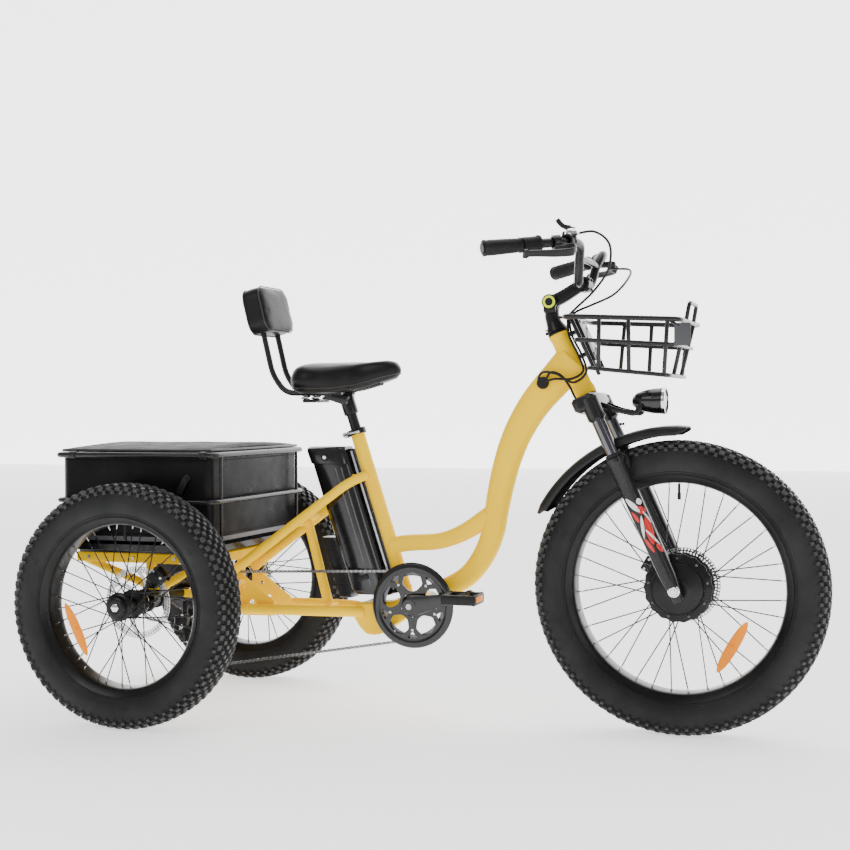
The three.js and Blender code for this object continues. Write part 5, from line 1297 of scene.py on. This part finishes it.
def grip(side, t0, t1, profile, ribs):
    """A grip lathed along the bar's straight end, with ribs round it."""
    a, b = grip_point(side, t0), grip_point(side, t1)
    length = float(np.linalg.norm(b - a))
    outer = [(r, share * length) for r, share in profile]
    rings = []
    for k in range(ribs):
        y = length * (0.12 + 0.74 * k / (ribs - 1))
        r = float(np.interp(y / length, [p[1] for p in profile], [p[0] for p in profile]))
        rings.append(thin_ring(r, y, 0.9, 1.3, 6, 40))
    core = lathe([(11.3, 0.5), *outer, (11.3, length - 0.5)], 48)
    return moved(merge(core, *rings), along(a, b))


def bar_clamp(a, b):
    """A clamp ring on the bar at a, with b further along the bar."""
    return moved(sleeve(11.4, 17, -9, 9, 1.5, 48), along(a, b))


PALM = [(15, 0.0), (18, 0.015), (18, 0.05), (15.6, 0.09), (16.6, 0.35), (17.2, 0.6), (17.8, 0.9),
        (19, 0.96), (19, 0.99), (17, 1.0)]
piece("right_grip_rubber", grip(-1, 0.42, 1.0, PALM, 17), GRIP, "bar", "right_grip", sharp=50)
piece("left_grip_rubber", grip(1, 0.10, 1.0, PALM, 27), GRIP, "bar", "left_grip", sharp=50)
TWIST = [(15, 0.0), (19.5, 0.02), (19.5, 0.16), (17.4, 0.2), (16.8, 0.6), (17.6, 0.97), (15, 1.0)]
piece("throttle_grip", grip(-1, 0.13, 0.41, TWIST, 9), GRIP, "twist_throttle", "throttle", sharp=50)
plugs = merge(*[moved(disc(13, (0, 0, 0), 0, 3.2, 40, 1.2), along(grip_point(s, 1.0), grip_point(s, 1.05)))
                for s in (-1, 1)])
piece("bar_end_plugs", plugs, PLASTIC, "bar")
for side, prefix in ((-1, "right"), (1, "left")):
    mount = grip_point(side, -0.12)
    way = grip_point(side, 1) - grip_point(side, 0)
    way = way / np.linalg.norm(way)
    collar = bar_clamp(mount, mount + way)
    base = np.array(mount) + (24, 0, -12)
    shell = merge(collar, block((44, 20, 16), at(*base), 6),
                  block((22, 14, 20), at(base[0] + 12, base[1], base[2] - 4), 5))
    piece(f"{prefix}_lever_mount", shell, PAINT, "bar", f"{prefix}_brake_mount", bevel=0.6)
    pivot = np.array(mount) + (40, side * 16, -24)
    tip = grip_point(side, 0.62) + np.array((44, side * 28, -22))
    blade = curve([pivot + (-4, -side * 8, 4), pivot + (4, 0, 0), pivot * 0.62 + tip * 0.38 + (9, 0, -2),
                   pivot * 0.22 + tip * 0.78 + (2, 0, 0), tip], 34)
    widths = [(10 - 3 * t + (3 if t > 0.93 else 0), 4.6 - 0.9 * t + (1.2 if t > 0.93 else 0))
              for t in np.linspace(0, 1, 34)]
    lever = sweep(blade, oblong(1, 1, 0.5, 5), up=(0, 0, 1), sizes=widths)
    piece(f"{prefix}_lever_blade", merge(lever, moved(disc(6, (0, 0, 0), -7, 7, 32), at(*pivot) @ TO_UP)),
          DARK_ALLOY, f"{prefix}_lever", f"{prefix}_brake_lever", sharp=50)

shift = merge(block((34, 20, 26), at(1081, -178, 1178), 6),
              block((24, 13, 12), at(1088, -178, 1168, 0.3), 4),
              bar_clamp((1079, -187, 1166.5), (1083, -169, 1166.5)))
piece("shifter_shell", shift, PLASTIC, "bar", "shifter", bevel=0.6)
paddle = merge(moved(disc(11, (0, 0, 0), 0, 7, 40), at(1084, -178, 1193) @ TO_UP),
               sweep(curve([(1084, -178, 1199), (1068, -178, 1203), (1058, -178, 1212), (1053, -178, 1219)],
                           14), oblong(8, 5.4, 3.0), up=(0, 1, 0)))
piece("shifter_paddle", paddle, PLASTIC, "shift_lever", "shifter_lever")
bell = lathe([(0, 14), (6, 13.4), (12, 10.6), (16, 5.5), (17.4, 0), (16.6, 0), (11, 9), (0, 12.4)], 48,
             closed=False)
piece("bell", moved(bell, at(1094, -207, 1180) @ TO_UP), CHROME, "bar")

# ---- Seat ----
clamp_ring = moved(sleeve(18.8, 24, 0, -15, 1.5, 56), SEAT @ TO_UP)
ear = moved(block((11, 25, 14.6), at(-27, 0, -7.5), 3), SEAT)
piece("seat_collar", merge(clamp_ring, ear), PAINT, "frame", "seat_clamp")
hub_part = moved(disc(6.5, (-26, -7.5), -14.5, -24, 32), SEAT)
arm_part = moved(tube(curve([(-26, -21, -7.5), (-16, -30, -8), (-6, -33, -9), (18, -34, -12)], 20),
                      [3.4] * 15 + [3.8, 4, 4, 3.8, 3.2], 16), SEAT)
piece("post_lever", merge(hub_part, arm_part), STEEL, "post_clamp_lever", "seat_clamp_lever")
piece("post_tube", moved(sweep([(0, 0, z) for z in np.linspace(-180, 66, 12)], circle(13.6, 40)), SEAT),
      PAINT, "seat", "seat_post")
back_tubes = [tube(bent([(227, s * 42, 1000), (257, s * 42, 872), (294, s * 42, 824), (452, s * 42, 824)],
                        26, 8), 7.5, 20) for s in (-1, 1)]
rails = [tube(curve([(345, s * 26, 836), (408, s * 22, 830), (470, s * 20, 830), (545, s * 10, 846)], 20),
              3.5, 12) for s in (-1, 1)]
frame_parts = [block((150, 96, 5), at(400, 0, 833), 2), block((22, 96, 8), at(350, 0, 828), 2),
               block((22, 96, 8), at(438, 0, 828), 2),
               moved(sweep([(0, 0, z) for z in (40, 42, 48, 94, 99, 100)], circle(1, 44),
                           sizes=(17, 18.6, 19, 19, 18.4, 17)), SEAT),
                           block((64, 56, 26), at(428, 0, 812, 0.3), 6),
                           block((104, 70, 9), at(398, 0, 824), 3),
               block((40, 86, 8), at(361, 0, 803), 3)]
piece("seat_carrier", merge(*back_tubes, *rails, *frame_parts), PAINT, "seat", "seat_frame", sharp=34)
nuts_here = [bolt(at(x, s * 47.5, 828) @ outward(s), 5.5, 4) for s in (-1, 1) for x in (350, 438)]
nuts_here += [nut(at(*on_seat(0, s * 18.4, 72)) @ outward(s), 7, 5) for s in (-1, 1)]
piece("seat_bolts", merge(*nuts_here), STEEL, "seat")


def bezier(a, b, c, d, t):
    """A point on a cubic curve."""
    a, b, c, d = (np.array(p, float) for p in (a, b, c, d))
    return (1 - t) ** 3 * a + 3 * t * (1 - t) ** 2 * b + 3 * t * t * (1 - t) * c + t ** 3 * d


SADDLE_HALF = [((318, 0), (316, 90), (338, 126), (386, 122)),
               ((386, 122), (442, 112), (450, 44), (506, 36)), ((506, 36), (562, 34), (596, 30), (598, 0))]
half_rim = np.array([bezier(*s, t) for s in SADDLE_HALF for t in np.linspace(0, 1, 24, endpoint=False)]
                    + [(598, 0)])
half_rim = spaced(half_rim, np.linspace(0, distances(half_rim)[-1], 60))
saddle_rim = np.vstack([half_rim, half_rim[-2:0:-1] * (1, -1)])


def saddle_low(x):
    """The cover's lower edge: level under the rider, rising to the nose."""
    t = min(1.0, max(0.0, (x - 440) / 158))
    return 829 + 42 * t ** 1.2


def saddle_high(x):
    """The middle line of the top: raised rear, a dip, then a nose that rises and falls."""
    return float(np.interp(x, (318, 340, 380, 430, 480, 530, 565, 585, 598),
                           (888, 898, 901, 898, 898, 903, 905.5, 902, 892)))


def saddle_ring(share, height):
    """A ring round the saddle: share of its outline, and height from its lower edge (0) to its top (1)."""
    ring = []
    for p in saddle_rim:
        middle = np.array((min(max(p[0], 372), 560), 0.0))
        x, y = middle + (p - middle) * share
        low, high = saddle_low(x), saddle_high(x) - 7 * max(0.0, abs(y) / 122 - 0.25)
        ring.append((x, y, low + (high - low) * height))
    return ring


levels = [(0.86, 0.02), (0.90, 0.03), (0.93, 0.08), (0.975, 0.20), (1.0, 0.36), (0.995, 0.5), (0.97, 0.64),
          (0.92, 0.77), (0.84, 0.87), (0.74, 0.935), (0.62, 0.975), (0.46, 1.0), (0.3, 1.0), (0.12, 1.0)]
saddle_piece = piece("saddle_cover", loft([saddle_ring(*level) for level in levels]), VINYL, "seat",
                     "saddle", sharp=180)
soft_pass(saddle_piece, SOFT_CELL, SOFT_PRESSURE, SOFT_MOST, lambda x, y, z: z < saddle_low(x) + 7)
piece("saddle_piping", tube(np.array(saddle_ring(0.94, 0.10)), 1.7, 8, closed=True), PIPING, "seat",
      sharp=180)
tray_rows = []
for share, drop in ((0.55, -7), (0.7, -6), (0.86, -1), (0.89, 3), (0.86, 4), (0.6, -3)):
    tray_rows.append([(x, y, z + drop) for x, y, z in saddle_ring(share, 0.0)])
piece("saddle_base", loft(tray_rows), PLASTIC, "seat", sharp=50)
springs = []
for side in (-1, 1):
    for x in (346, 376):
        turns = np.linspace(0, TAU * 3, 80)
        springs.append(tube([(x + 9.5 * cos(a), side * 32 + 9.5 * sin(a), 806 + 3.9 * a / 3)
                             for a in turns], 2.6, 10))
piece("saddle_springs", merge(*springs), STEEL, "seat", sharp=180)

PAD = at(232, 0, 1040, -0.24)


def pad_ring(depth, inset):
    """A ring round the backrest pad at a depth, inset from its outline."""
    ring = []
    for y, z in oblong(86, 60, 30, 10):
        ring.append((depth, y * (1 - inset / 86), z * (1 - inset / 60)))
    return ring


pad_rows = [pad_ring(d, i) for d, i in ((-38, 40), (-38, 16), (-36.5, 6), (-32, 1.5), (-24, 0), (0, 0),
                                        (13, 1.5), (19, 4), (23, 9), (24.6, 20), (25, 42))]
backrest = piece("backrest_cover", moved(loft(pad_rows), PAD), VINYL, "seat", "backrest_pad", sharp=180)
PAD_BACK = PAD.inverted()
soft_pass(backrest, SOFT_CELL, SOFT_PRESSURE, SOFT_MOST, lambda x, y,
          z: (PAD_BACK @ Vector((x, y, z))).x < -29)
piping = [tube(np.array(pad_ring(d, 0.4)), 1.7, 8, closed=True) for d in (15, -30)]
piece("backrest_piping", moved(merge(*piping), PAD), PIPING, "seat", sharp=180)

# ---- Cargo rack and its box ----
def ring_loop(x0, x1, y, z0, z1, corner):
    return rounded_loop([(x0, -y, z0), (x1, -y, z1), (x1, y, z1), (x0, y, z0)], corner, 7)


RACK_TOP = 669
POST_Y = 225
rods = [tube(ring_loop(*RACK_X, RACK_Y, RACK_TOP, RACK_TOP, 30), 7, 16, closed=True),
        tube(ring_loop(*RACK_X, RACK_Y, 553, 553, 30), 6, 16, closed=True)]
feet = []
for side in (-1, 1):
    for x in RACK_X:
        out = 1 if x > 0 else -1
        rods.append(rod((x, side * POST_Y, RACK_TOP), (x, side * POST_Y, 431), 4.2, 14))
        feet.append(block((4, 22, 16), at(x + out * 2.2, side * POST_Y, 438), 1.2))
tray_path = rounded_loop([(-250.5, -275.5), (202.5, -275.5), (202.5, 275.5), (-250.5, 275.5)], 14, 5)
lip = loft([[(x * s + c, y * s2, z) for x, y in tray_path] for s, c, s2, z in
            ((1, 0, 1, 444), (1, 0, 1, 428.6), (0.998, 0, 0.998, 428), (0.5, -12, 0.5, 428),
             (0.5, -12, 0.5, 434), (0.99, -0.24, 0.99, 434), (0.994, -0.14, 0.994, 444))], closed=True)
floor = loft([[(x * 0.5 - 12, y * 0.5, z) for x, y in tray_path] for z in (428, 434)])
runners = [block((380, 24, 14), at(-30, s * RAIL_Y, 423), 2) for s in (-1, 1)]
piece("rack_rods", merge(*rods, *feet), PAINT, "frame", "cargo_rack", sharp=40)
piece("rack_tray", merge(lip, floor, *runners), PAINT, "frame", sharp=30)
piece("rack_bolts", merge(*[bolt(at(204, s * POST_Y + d, 438) @ TO_FRONT, 3.4, 2.4)
                            for s in (-1, 1) for d in (-7, 7)]), STEEL, "frame")

box_path = rounded_loop([(BOX_X[0] + 1, -BOX_Y + 1), (BOX_X[1] - 1, -BOX_Y + 1), (BOX_X[1] - 1, BOX_Y - 1),
                         (BOX_X[0] + 1, BOX_Y - 1)], 20, 6)
box_middle = np.array(((BOX_X[0] + BOX_X[1]) / 2, 0))
box_half = np.array(((BOX_X[1] - BOX_X[0]) / 2, BOX_Y))


def box_ring(z, inset):
    """A ring round the cargo box at a height, inset from its side."""
    out = []
    for p in box_path:
        d = p - box_middle
        out.append((*(box_middle + d * (1 - inset / box_half)), z))
    return out


walls = []
for z, i in ((441, 6), (442, 1.5), (445, 0), (660, 0), (670, 0), (671.5, 1), (671.5, 5), (668, 6), (450, 6),
             (447, 9)):
    walls.append(box_ring(z, i))
box_shell = loft(walls)
piece("box_fabric", box_shell, LINER, "frame", "cargo_liner", sharp=50)
band = loft([box_ring(z, i) for z, i in ((451, 0.4), (451.6, -1.1), (462.4, -1.1), (463, 0.4))],
            closed=True)
piece("box_band", band, GREY_STRIP, "frame", sharp=50)
seams = [tube(np.array(box_ring(z, -0.2)), 1.3, 8, closed=True) for z in (655, 469)]
piece("box_seams", merge(*seams), FABRIC, "frame", sharp=180)
strap_tab = sweep(curve([(128, -BOX_Y - 1.5, 618), (120, -BOX_Y - 7, 606), (112, -BOX_Y - 9, 590),
                         (104, -BOX_Y - 8, 574)], 16),
                  oblong(1.1, 8, 0.5, 2), up=(0, 1, 0))
eyelet = moved(disc(3.6, (0, 0, 0), -1, 3, 20, 0.4), at(125, -BOX_Y - 6, 612) @ TO_RIGHT)
piece("box_strap_tab", merge(strap_tab, eyelet), GRIP, "frame", sharp=60)

lid_rows = []
for x in np.linspace(BOX_X[0], BOX_X[1], 34):
    t = (x - BOX_X[0]) / (BOX_X[1] - BOX_X[0])
    end = min(1, min(t, 1 - t) / 0.05 + 0.25)
    row = []
    for y in np.linspace(-BOX_Y, BOX_Y, 30):
        s = y / BOX_Y
        crown_here = 11.5 * (1 - abs(s) ** 2.2) * end ** 0.5 * (0.86
                                                                + 0.14 * cos(3 * x / 100) * cos(y / 70))
        row.append((x, y, 677.4 + 7.6 * end ** 0.4 * (1 - 0.25 * max(0, (abs(s) - 0.96) / 0.04))
                    + crown_here))
    row += [(x, BOX_Y - 1.0, 677.2), (x, -BOX_Y + 1.0, 677.2)]
    lid_rows.append(row)
piece("lid_cover", loft(lid_rows), FABRIC, "lid", "cargo_lid", sharp=50)
zip_path = rounded_loop([(BOX_X[0], -BOX_Y), (BOX_X[1], -BOX_Y), (BOX_X[1], BOX_Y),
                         (BOX_X[0], BOX_Y)], 4, 3)
piece("lid_edge", sweep([(x, y, 680.5) for x, y in zip_path], oblong(3.2, 1.7, 1.0, 2), closed=True),
      PIPING, "lid", sharp=50)
clips = [moved(lathe([(7.3, -9), (9.2, -8), (9.2, 8), (7.3, 9)], 24), at(x, -RACK_Y, RACK_TOP) @ TO_BACK)
         for x in (-196, 176)]
clips += [block((14, 16, 5), at(x, -RACK_Y + 10, 676), 1.5) for x in (-196, 176)]
piece("rack_clips", merge(*clips), PLASTIC, "frame")

# ---- Front basket ----
BASKET_X, BASKET_Y, BASKET_TOP = (1056, 1330), 150, (997, 983)
BASKET_LOW_X, BASKET_LOW_Y, BASKET_LOW = (1110, 1300), 128, (876, 856)
MID = 0.45


def mix(a, b, t):
    return a + (b - a) * t


mid_x = [mix(a, b, MID) for a, b in zip(BASKET_X, BASKET_LOW_X)]
mid_z = [mix(a, b, MID) for a, b in zip(BASKET_TOP, BASKET_LOW)]
mid_y = mix(BASKET_Y, BASKET_LOW_Y, MID)
wire = [tube(ring_loop(*BASKET_X, BASKET_Y, *BASKET_TOP, 30), 6, 16, closed=True),
        tube(ring_loop(*mid_x, mid_y, *mid_z, 28), 5, 14, closed=True),
        tube(ring_loop(*BASKET_LOW_X, BASKET_LOW_Y, *BASKET_LOW, 24), 5, 14, closed=True)]
beads = []
for side in (-1, 1):
    for t, u in ((0.32, 0.14), (0.57, 0.52), (0.9, 0.95)):
        top = (mix(*BASKET_X, t), side * BASKET_Y, mix(*BASKET_TOP, t))
        low = (mix(*BASKET_LOW_X, u), side * BASKET_LOW_Y, mix(*BASKET_LOW, u))
        wire += [rod(top, low, 5, 14), rod((low[0], 0, low[2]), low, 4.5, 12)]
        for share in (0.0, MID, 1.0):
            spot = np.array(top) * (1 - share) + np.array(low) * share
            beads.append(weld(tuple(spot), tuple(np.array(low) - np.array(top)), 5.2, 1.1, 8))
    for end in (0, 1):
        wire.append(rod((BASKET_X[end], side * 62, BASKET_TOP[end]),
                        (BASKET_LOW_X[end], side * 54, BASKET_LOW[end]), 5, 14))
wire.append(tube(bent([(1330, -54, 983), (1338, -54, 1027), (1338, 54, 1027), (1330, 54, 983)], 14,
                      6), 5, 16))
piece("basket_wire", merge(*wire), PAINT, "frame", "front_basket", sharp=60)
piece("basket_welds", merge(*beads), PAINT, "frame", sharp=180)
bracket_parts = [block((5, 72, 118), at(*on_head(62, 0, -42), -HEAD_TILT), 1.5),
                 block((38, 26, 10), at(*on_head(44, 0, -14), -HEAD_TILT), 3),
                 block((38, 26, 10), at(*on_head(44, 0, -74), -HEAD_TILT), 3),
                 block((8, 14, 150), at(*on_head(56, -28, -62), -HEAD_TILT), 2)]
piece("basket_bracket", merge(*bracket_parts), PAINT, "frame")
piece("basket_corner_plate", block((38, 3.4, 52), at(1336, -146, 949), 1.5), GREY_PLATE, "frame")
plate_arms = [rod((1296, -138, 926), (1334, -145, 930), 3, 12),
              rod((1300, -146, 984), (1330, -145, 968), 3, 12)]
piece("basket_plate_arms", merge(*plate_arms), PAINT, "frame")
heads = [bolt(at(*on_head(65, y, z), -HEAD_TILT) @ TO_FRONT, 4, 3.4)
         for y in (-22, 22) for z in (2, -84)]
piece("basket_bolts", merge(*heads), STEEL, "frame")

# ---- Battery, its rail and the motor controller behind the seat tube ----
def tube_middle(z):
    """X of the seat tube's middle line at a height."""
    return SEAT_TOP[0] + (z - SEAT_TOP[2]) * -LEAN


CASE = [(-139, 14), (-138, 27), (-132, 35), (-120, 40), (-56, 40.6), (-48, 38), (-40, 30), (-36, 26)]
case_section = [*[(x, y) for x, y in CASE], *[(x, -y) for x, y in CASE[::-1]]]
rows = []
for z, grow in ((308, -5), (312, -1.6), (320, 0), (470, 0), (640, 0), (642, 4), (672, 5), (681, 3),
                (685.5, -4)):
    rows.append([(tube_middle(z) + x + (0 if x > -100 else -grow), y * (1 + grow / 42), z)
                 for x, y in case_section])
piece("battery_case", loft(rows), GLOSS, "battery_pack", "battery", sharp=34)
lines = []
for x in (-58, -74):
    path = [(tube_middle(z) + x, -40.4 if x > -70 else -40.6, z) for z in (330, 480, 632)]
    lines.append(sweep(path, oblong(1.6, 0.9, 0.5, 2), up=(1, 0, 0)))
piece("battery_lines", merge(*lines), GREY_STRIP, "battery_pack", sharp=60)
lock = merge(moved(disc(9, (0, 0, 0), 0, 4, 36, 1), at(tube_middle(658) - 92, -44.5, 658) @ TO_RIGHT),
             block((30, 4, 14), at(tube_middle(352) - 88, -41, 352, -0.31), 1.5))
piece("battery_lock", lock, PLASTIC, "battery_pack")
piece("battery_lock_core", moved(disc(4.6, (0, 0, 0), 0, 2, 24, 0.4),
                                 at(tube_middle(658) - 92, -48.4, 658) @ TO_RIGHT), CHROME,
      "battery_pack")
rail_rows = [[(tube_middle(z) + x, y, z) for x, y in ((-34.5, -13), (-34.5, 13), (-20.5, 13.4),
                                                      (-20.5, -13.4))] for z in (312, 360, 600, 680)]
piece("battery_mount", loft(rail_rows), ALLOY, "frame", "battery_rail", bevel=1.2)
strip = [sweep([(tube_middle(z) - 27.5, s * 13.6, z) for z in (320, 500, 674)], oblong(3.0, 0.7, 0.4, 2),
               up=(1, 0, 0)) for s in (-1, 1)]
piece("battery_silver_strip", merge(*strip), SILVER_STRIP, "frame", sharp=60)
CTRL = [(-181, 12), (-178, 24), (-170, 27.6), (-145, 27.6), (-145, -27.6), (-170, -27.6), (-178, -24),
        (-181, -12)]
ctrl_rows = [[(tube_middle(z) + x, y * s, z) for x, y in CTRL]
             for z, s in ((297, 0.86), (301, 1), (447, 1), (451, 0.86))]
piece("controller_case", loft(ctrl_rows), ALLOY, "frame", "controller", bevel=1.0)
fins = [sweep([(tube_middle(z) - 181.2, y, z) for z in (306, 380, 440)], oblong(1.4, 1.0, 0.5, 2),
              up=(1, 0, 0)) for y in (-8, -3, 3, 8)]
straps = [loft([[(tube_middle(z) + x - 0.2, y * 1.03, z + d) for x, y in CTRL] for d in (-4, 4)])
          for z in (330, 420)]
piece("controller_fins", merge(*fins, *straps), DARK_ALLOY, "frame", sharp=30)

# ---- Cables: from the bar to the grommet on the head tube ----
CABLE_R = 3
CLIP = (1041, -34, 1004)
RIGHT_UPPER = [(1103, -178, 1186), (1135, -160, 1190), (1161, -116, 1166), (1150, -72, 1112),
               (1108, -44, 1062), (1066, -36, 1026), CLIP]
RIGHT_LOWER = [CLIP, (1044, -36, 960), (1070, -38, 905), (1080, -40, 870), (1052, -42, 852),
               (1010, -41, 852), (985, -38, 846)]
LEFT_UPPER = [(1104, 212, 1138), (1152, 170, 1130), (1163, 90, 1098), (1140, 24, 1056), (1096, -18, 1030),
              (1060, -27, 1014), (1043, -26.5, 1000)]
LEFT_LOWER = [(1043, -26.5, 1000), (1050, -31, 960), (1078, -38, 905), (1088, -44, 866), (1058, -49, 843),
              (1016, -48, 864), (978, -40, 868), (968, -37, 850), (978, -35, 842)]
MOTOR_LEAD = [(983, -36, 842), (1000, -42, 868), (1024, -44, 862), (1046, -44, 836), (1062, -48, 806),
              (1080, -50, 786)]


def control_cable(name, line, replaced=()):
    """A cable through the given points, on no body, with its placement baked into its points."""
    path = curve(line, 80)
    made = piece(name, tube(path, CABLE_R, 12), PLASTIC, None, replaced, sharp=180)
    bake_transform(made)


control_cable("right_cable_upper", RIGHT_UPPER,
              "control_cables")
control_cable("left_cable_upper", LEFT_UPPER)
control_cable("right_cable_lower", RIGHT_LOWER)
control_cable("left_cable_lower", LEFT_LOWER)
control_cable("motor_lead", MOTOR_LEAD)
clip = merge(moved(disc(6, (0, 0, 0), -4, 4, 24, 1.2), at(1039, -30.5, 1003) @ TO_UP),
             block((20, 5, 7), at(1027, -27, 1002), 1.5))
piece("cable_clip", clip, PLASTIC, "steering_column")
collar = merge(moved(disc(15, (0, 0, 0), -5, 5, 40, 2), at(978, -33, 843)),
               block((26, 6, 20), at(978, -30.5, 843, 0.5), 2.5))
piece("cable_grommet", collar, GRIP, "frame")

# ---- Setting, light and camera ----
FLOOR_GLOW = 1.1
WALL_GLOW = 2.7
WORLD_GLOW = 0.45


def studio_sheet(name, place, turn, size, glow):
    """A plain pale sheet of the studio: the floor or the wall behind."""
    bpy.ops.mesh.primitive_plane_add(size=size, location=place, rotation=turn)
    made = bpy.context.object
    made.name = name
    look = bpy.data.materials.new(name)
    look.use_nodes = True
    shader = look.node_tree.nodes["Principled BSDF"]
    shader.inputs["Base Color"].default_value = (0.92, 0.92, 0.925, 1)
    shader.inputs["Roughness"].default_value = 0.85
    shader.inputs["Specular IOR Level"].default_value = 0.0
    shader.inputs["Emission Color"].default_value = (1.0, 1.0, 1.0, 1)
    shader.inputs["Emission Strength"].default_value = glow
    made.data.materials.append(look)


studio_sheet("studio_floor", (0, 0, 0), (0, 0, 0), 120, FLOOR_GLOW)
studio_sheet("studio_wall", (0, 14, 0), (pi / 2, 0, 0), 60, WALL_GLOW)

world = bpy.data.worlds.new("studio")
bpy.context.scene.world = world
world.use_nodes = True
world.node_tree.nodes["Background"].inputs["Color"].default_value = (1.0, 1.0, 1.0, 1)
world.node_tree.nodes["Background"].inputs["Strength"].default_value = WORLD_GLOW


def panel(name, place, target, size, power):
    light = bpy.data.lights.new(name, "AREA")
    light.shape = "RECTANGLE"
    light.size, light.size_y = size
    light.energy = power
    made = bpy.data.objects.new(name, light)
    made.location = place
    made.rotation_euler = (Vector(target) - Vector(place)).to_track_quat("-Z", "Y").to_euler()
    bpy.context.scene.collection.objects.link(made)


MIDDLE = (0.0, 0.0, 0.55)
panel("key", (-1.6, -3.4, 3.2), MIDDLE, (2.4, 1.4), 44)
panel("fill", (3.6, -2.2, 1.6), MIDDLE, (0.5, 1.6), 12)
panel("top", (0.2, 0.4, 3.8), MIDDLE, (3.4, 1.6), 52)

EYE = (1.18505, -3.4208, 0.7864)
YAW, PITCH, ROLL = radians(19.34), radians(-0.73), radians(-0.34)
LENS = 60.56
ahead = Vector((-sin(YAW) * cos(PITCH), cos(YAW) * cos(PITCH), sin(PITCH)))
sideways = ahead.cross(Vector((0, 0, 1))).normalized()
upward = sideways.cross(ahead)
sideways, upward = sideways * cos(ROLL) + upward * sin(ROLL), upward * cos(ROLL) - sideways * sin(ROLL)
camera_data = bpy.data.cameras.new("view")
camera_data.lens = LENS
camera_data.sensor_width = 36
camera = bpy.data.objects.new("view", camera_data)
camera.matrix_world = Matrix((
    (sideways.x, upward.x, -ahead.x, EYE[0]), (sideways.y, upward.y, -ahead.y, EYE[1]),
    (sideways.z, upward.z, -ahead.z, EYE[2]), (0, 0, 0, 1)))
bpy.context.scene.collection.objects.link(camera)
bpy.context.scene.camera = camera
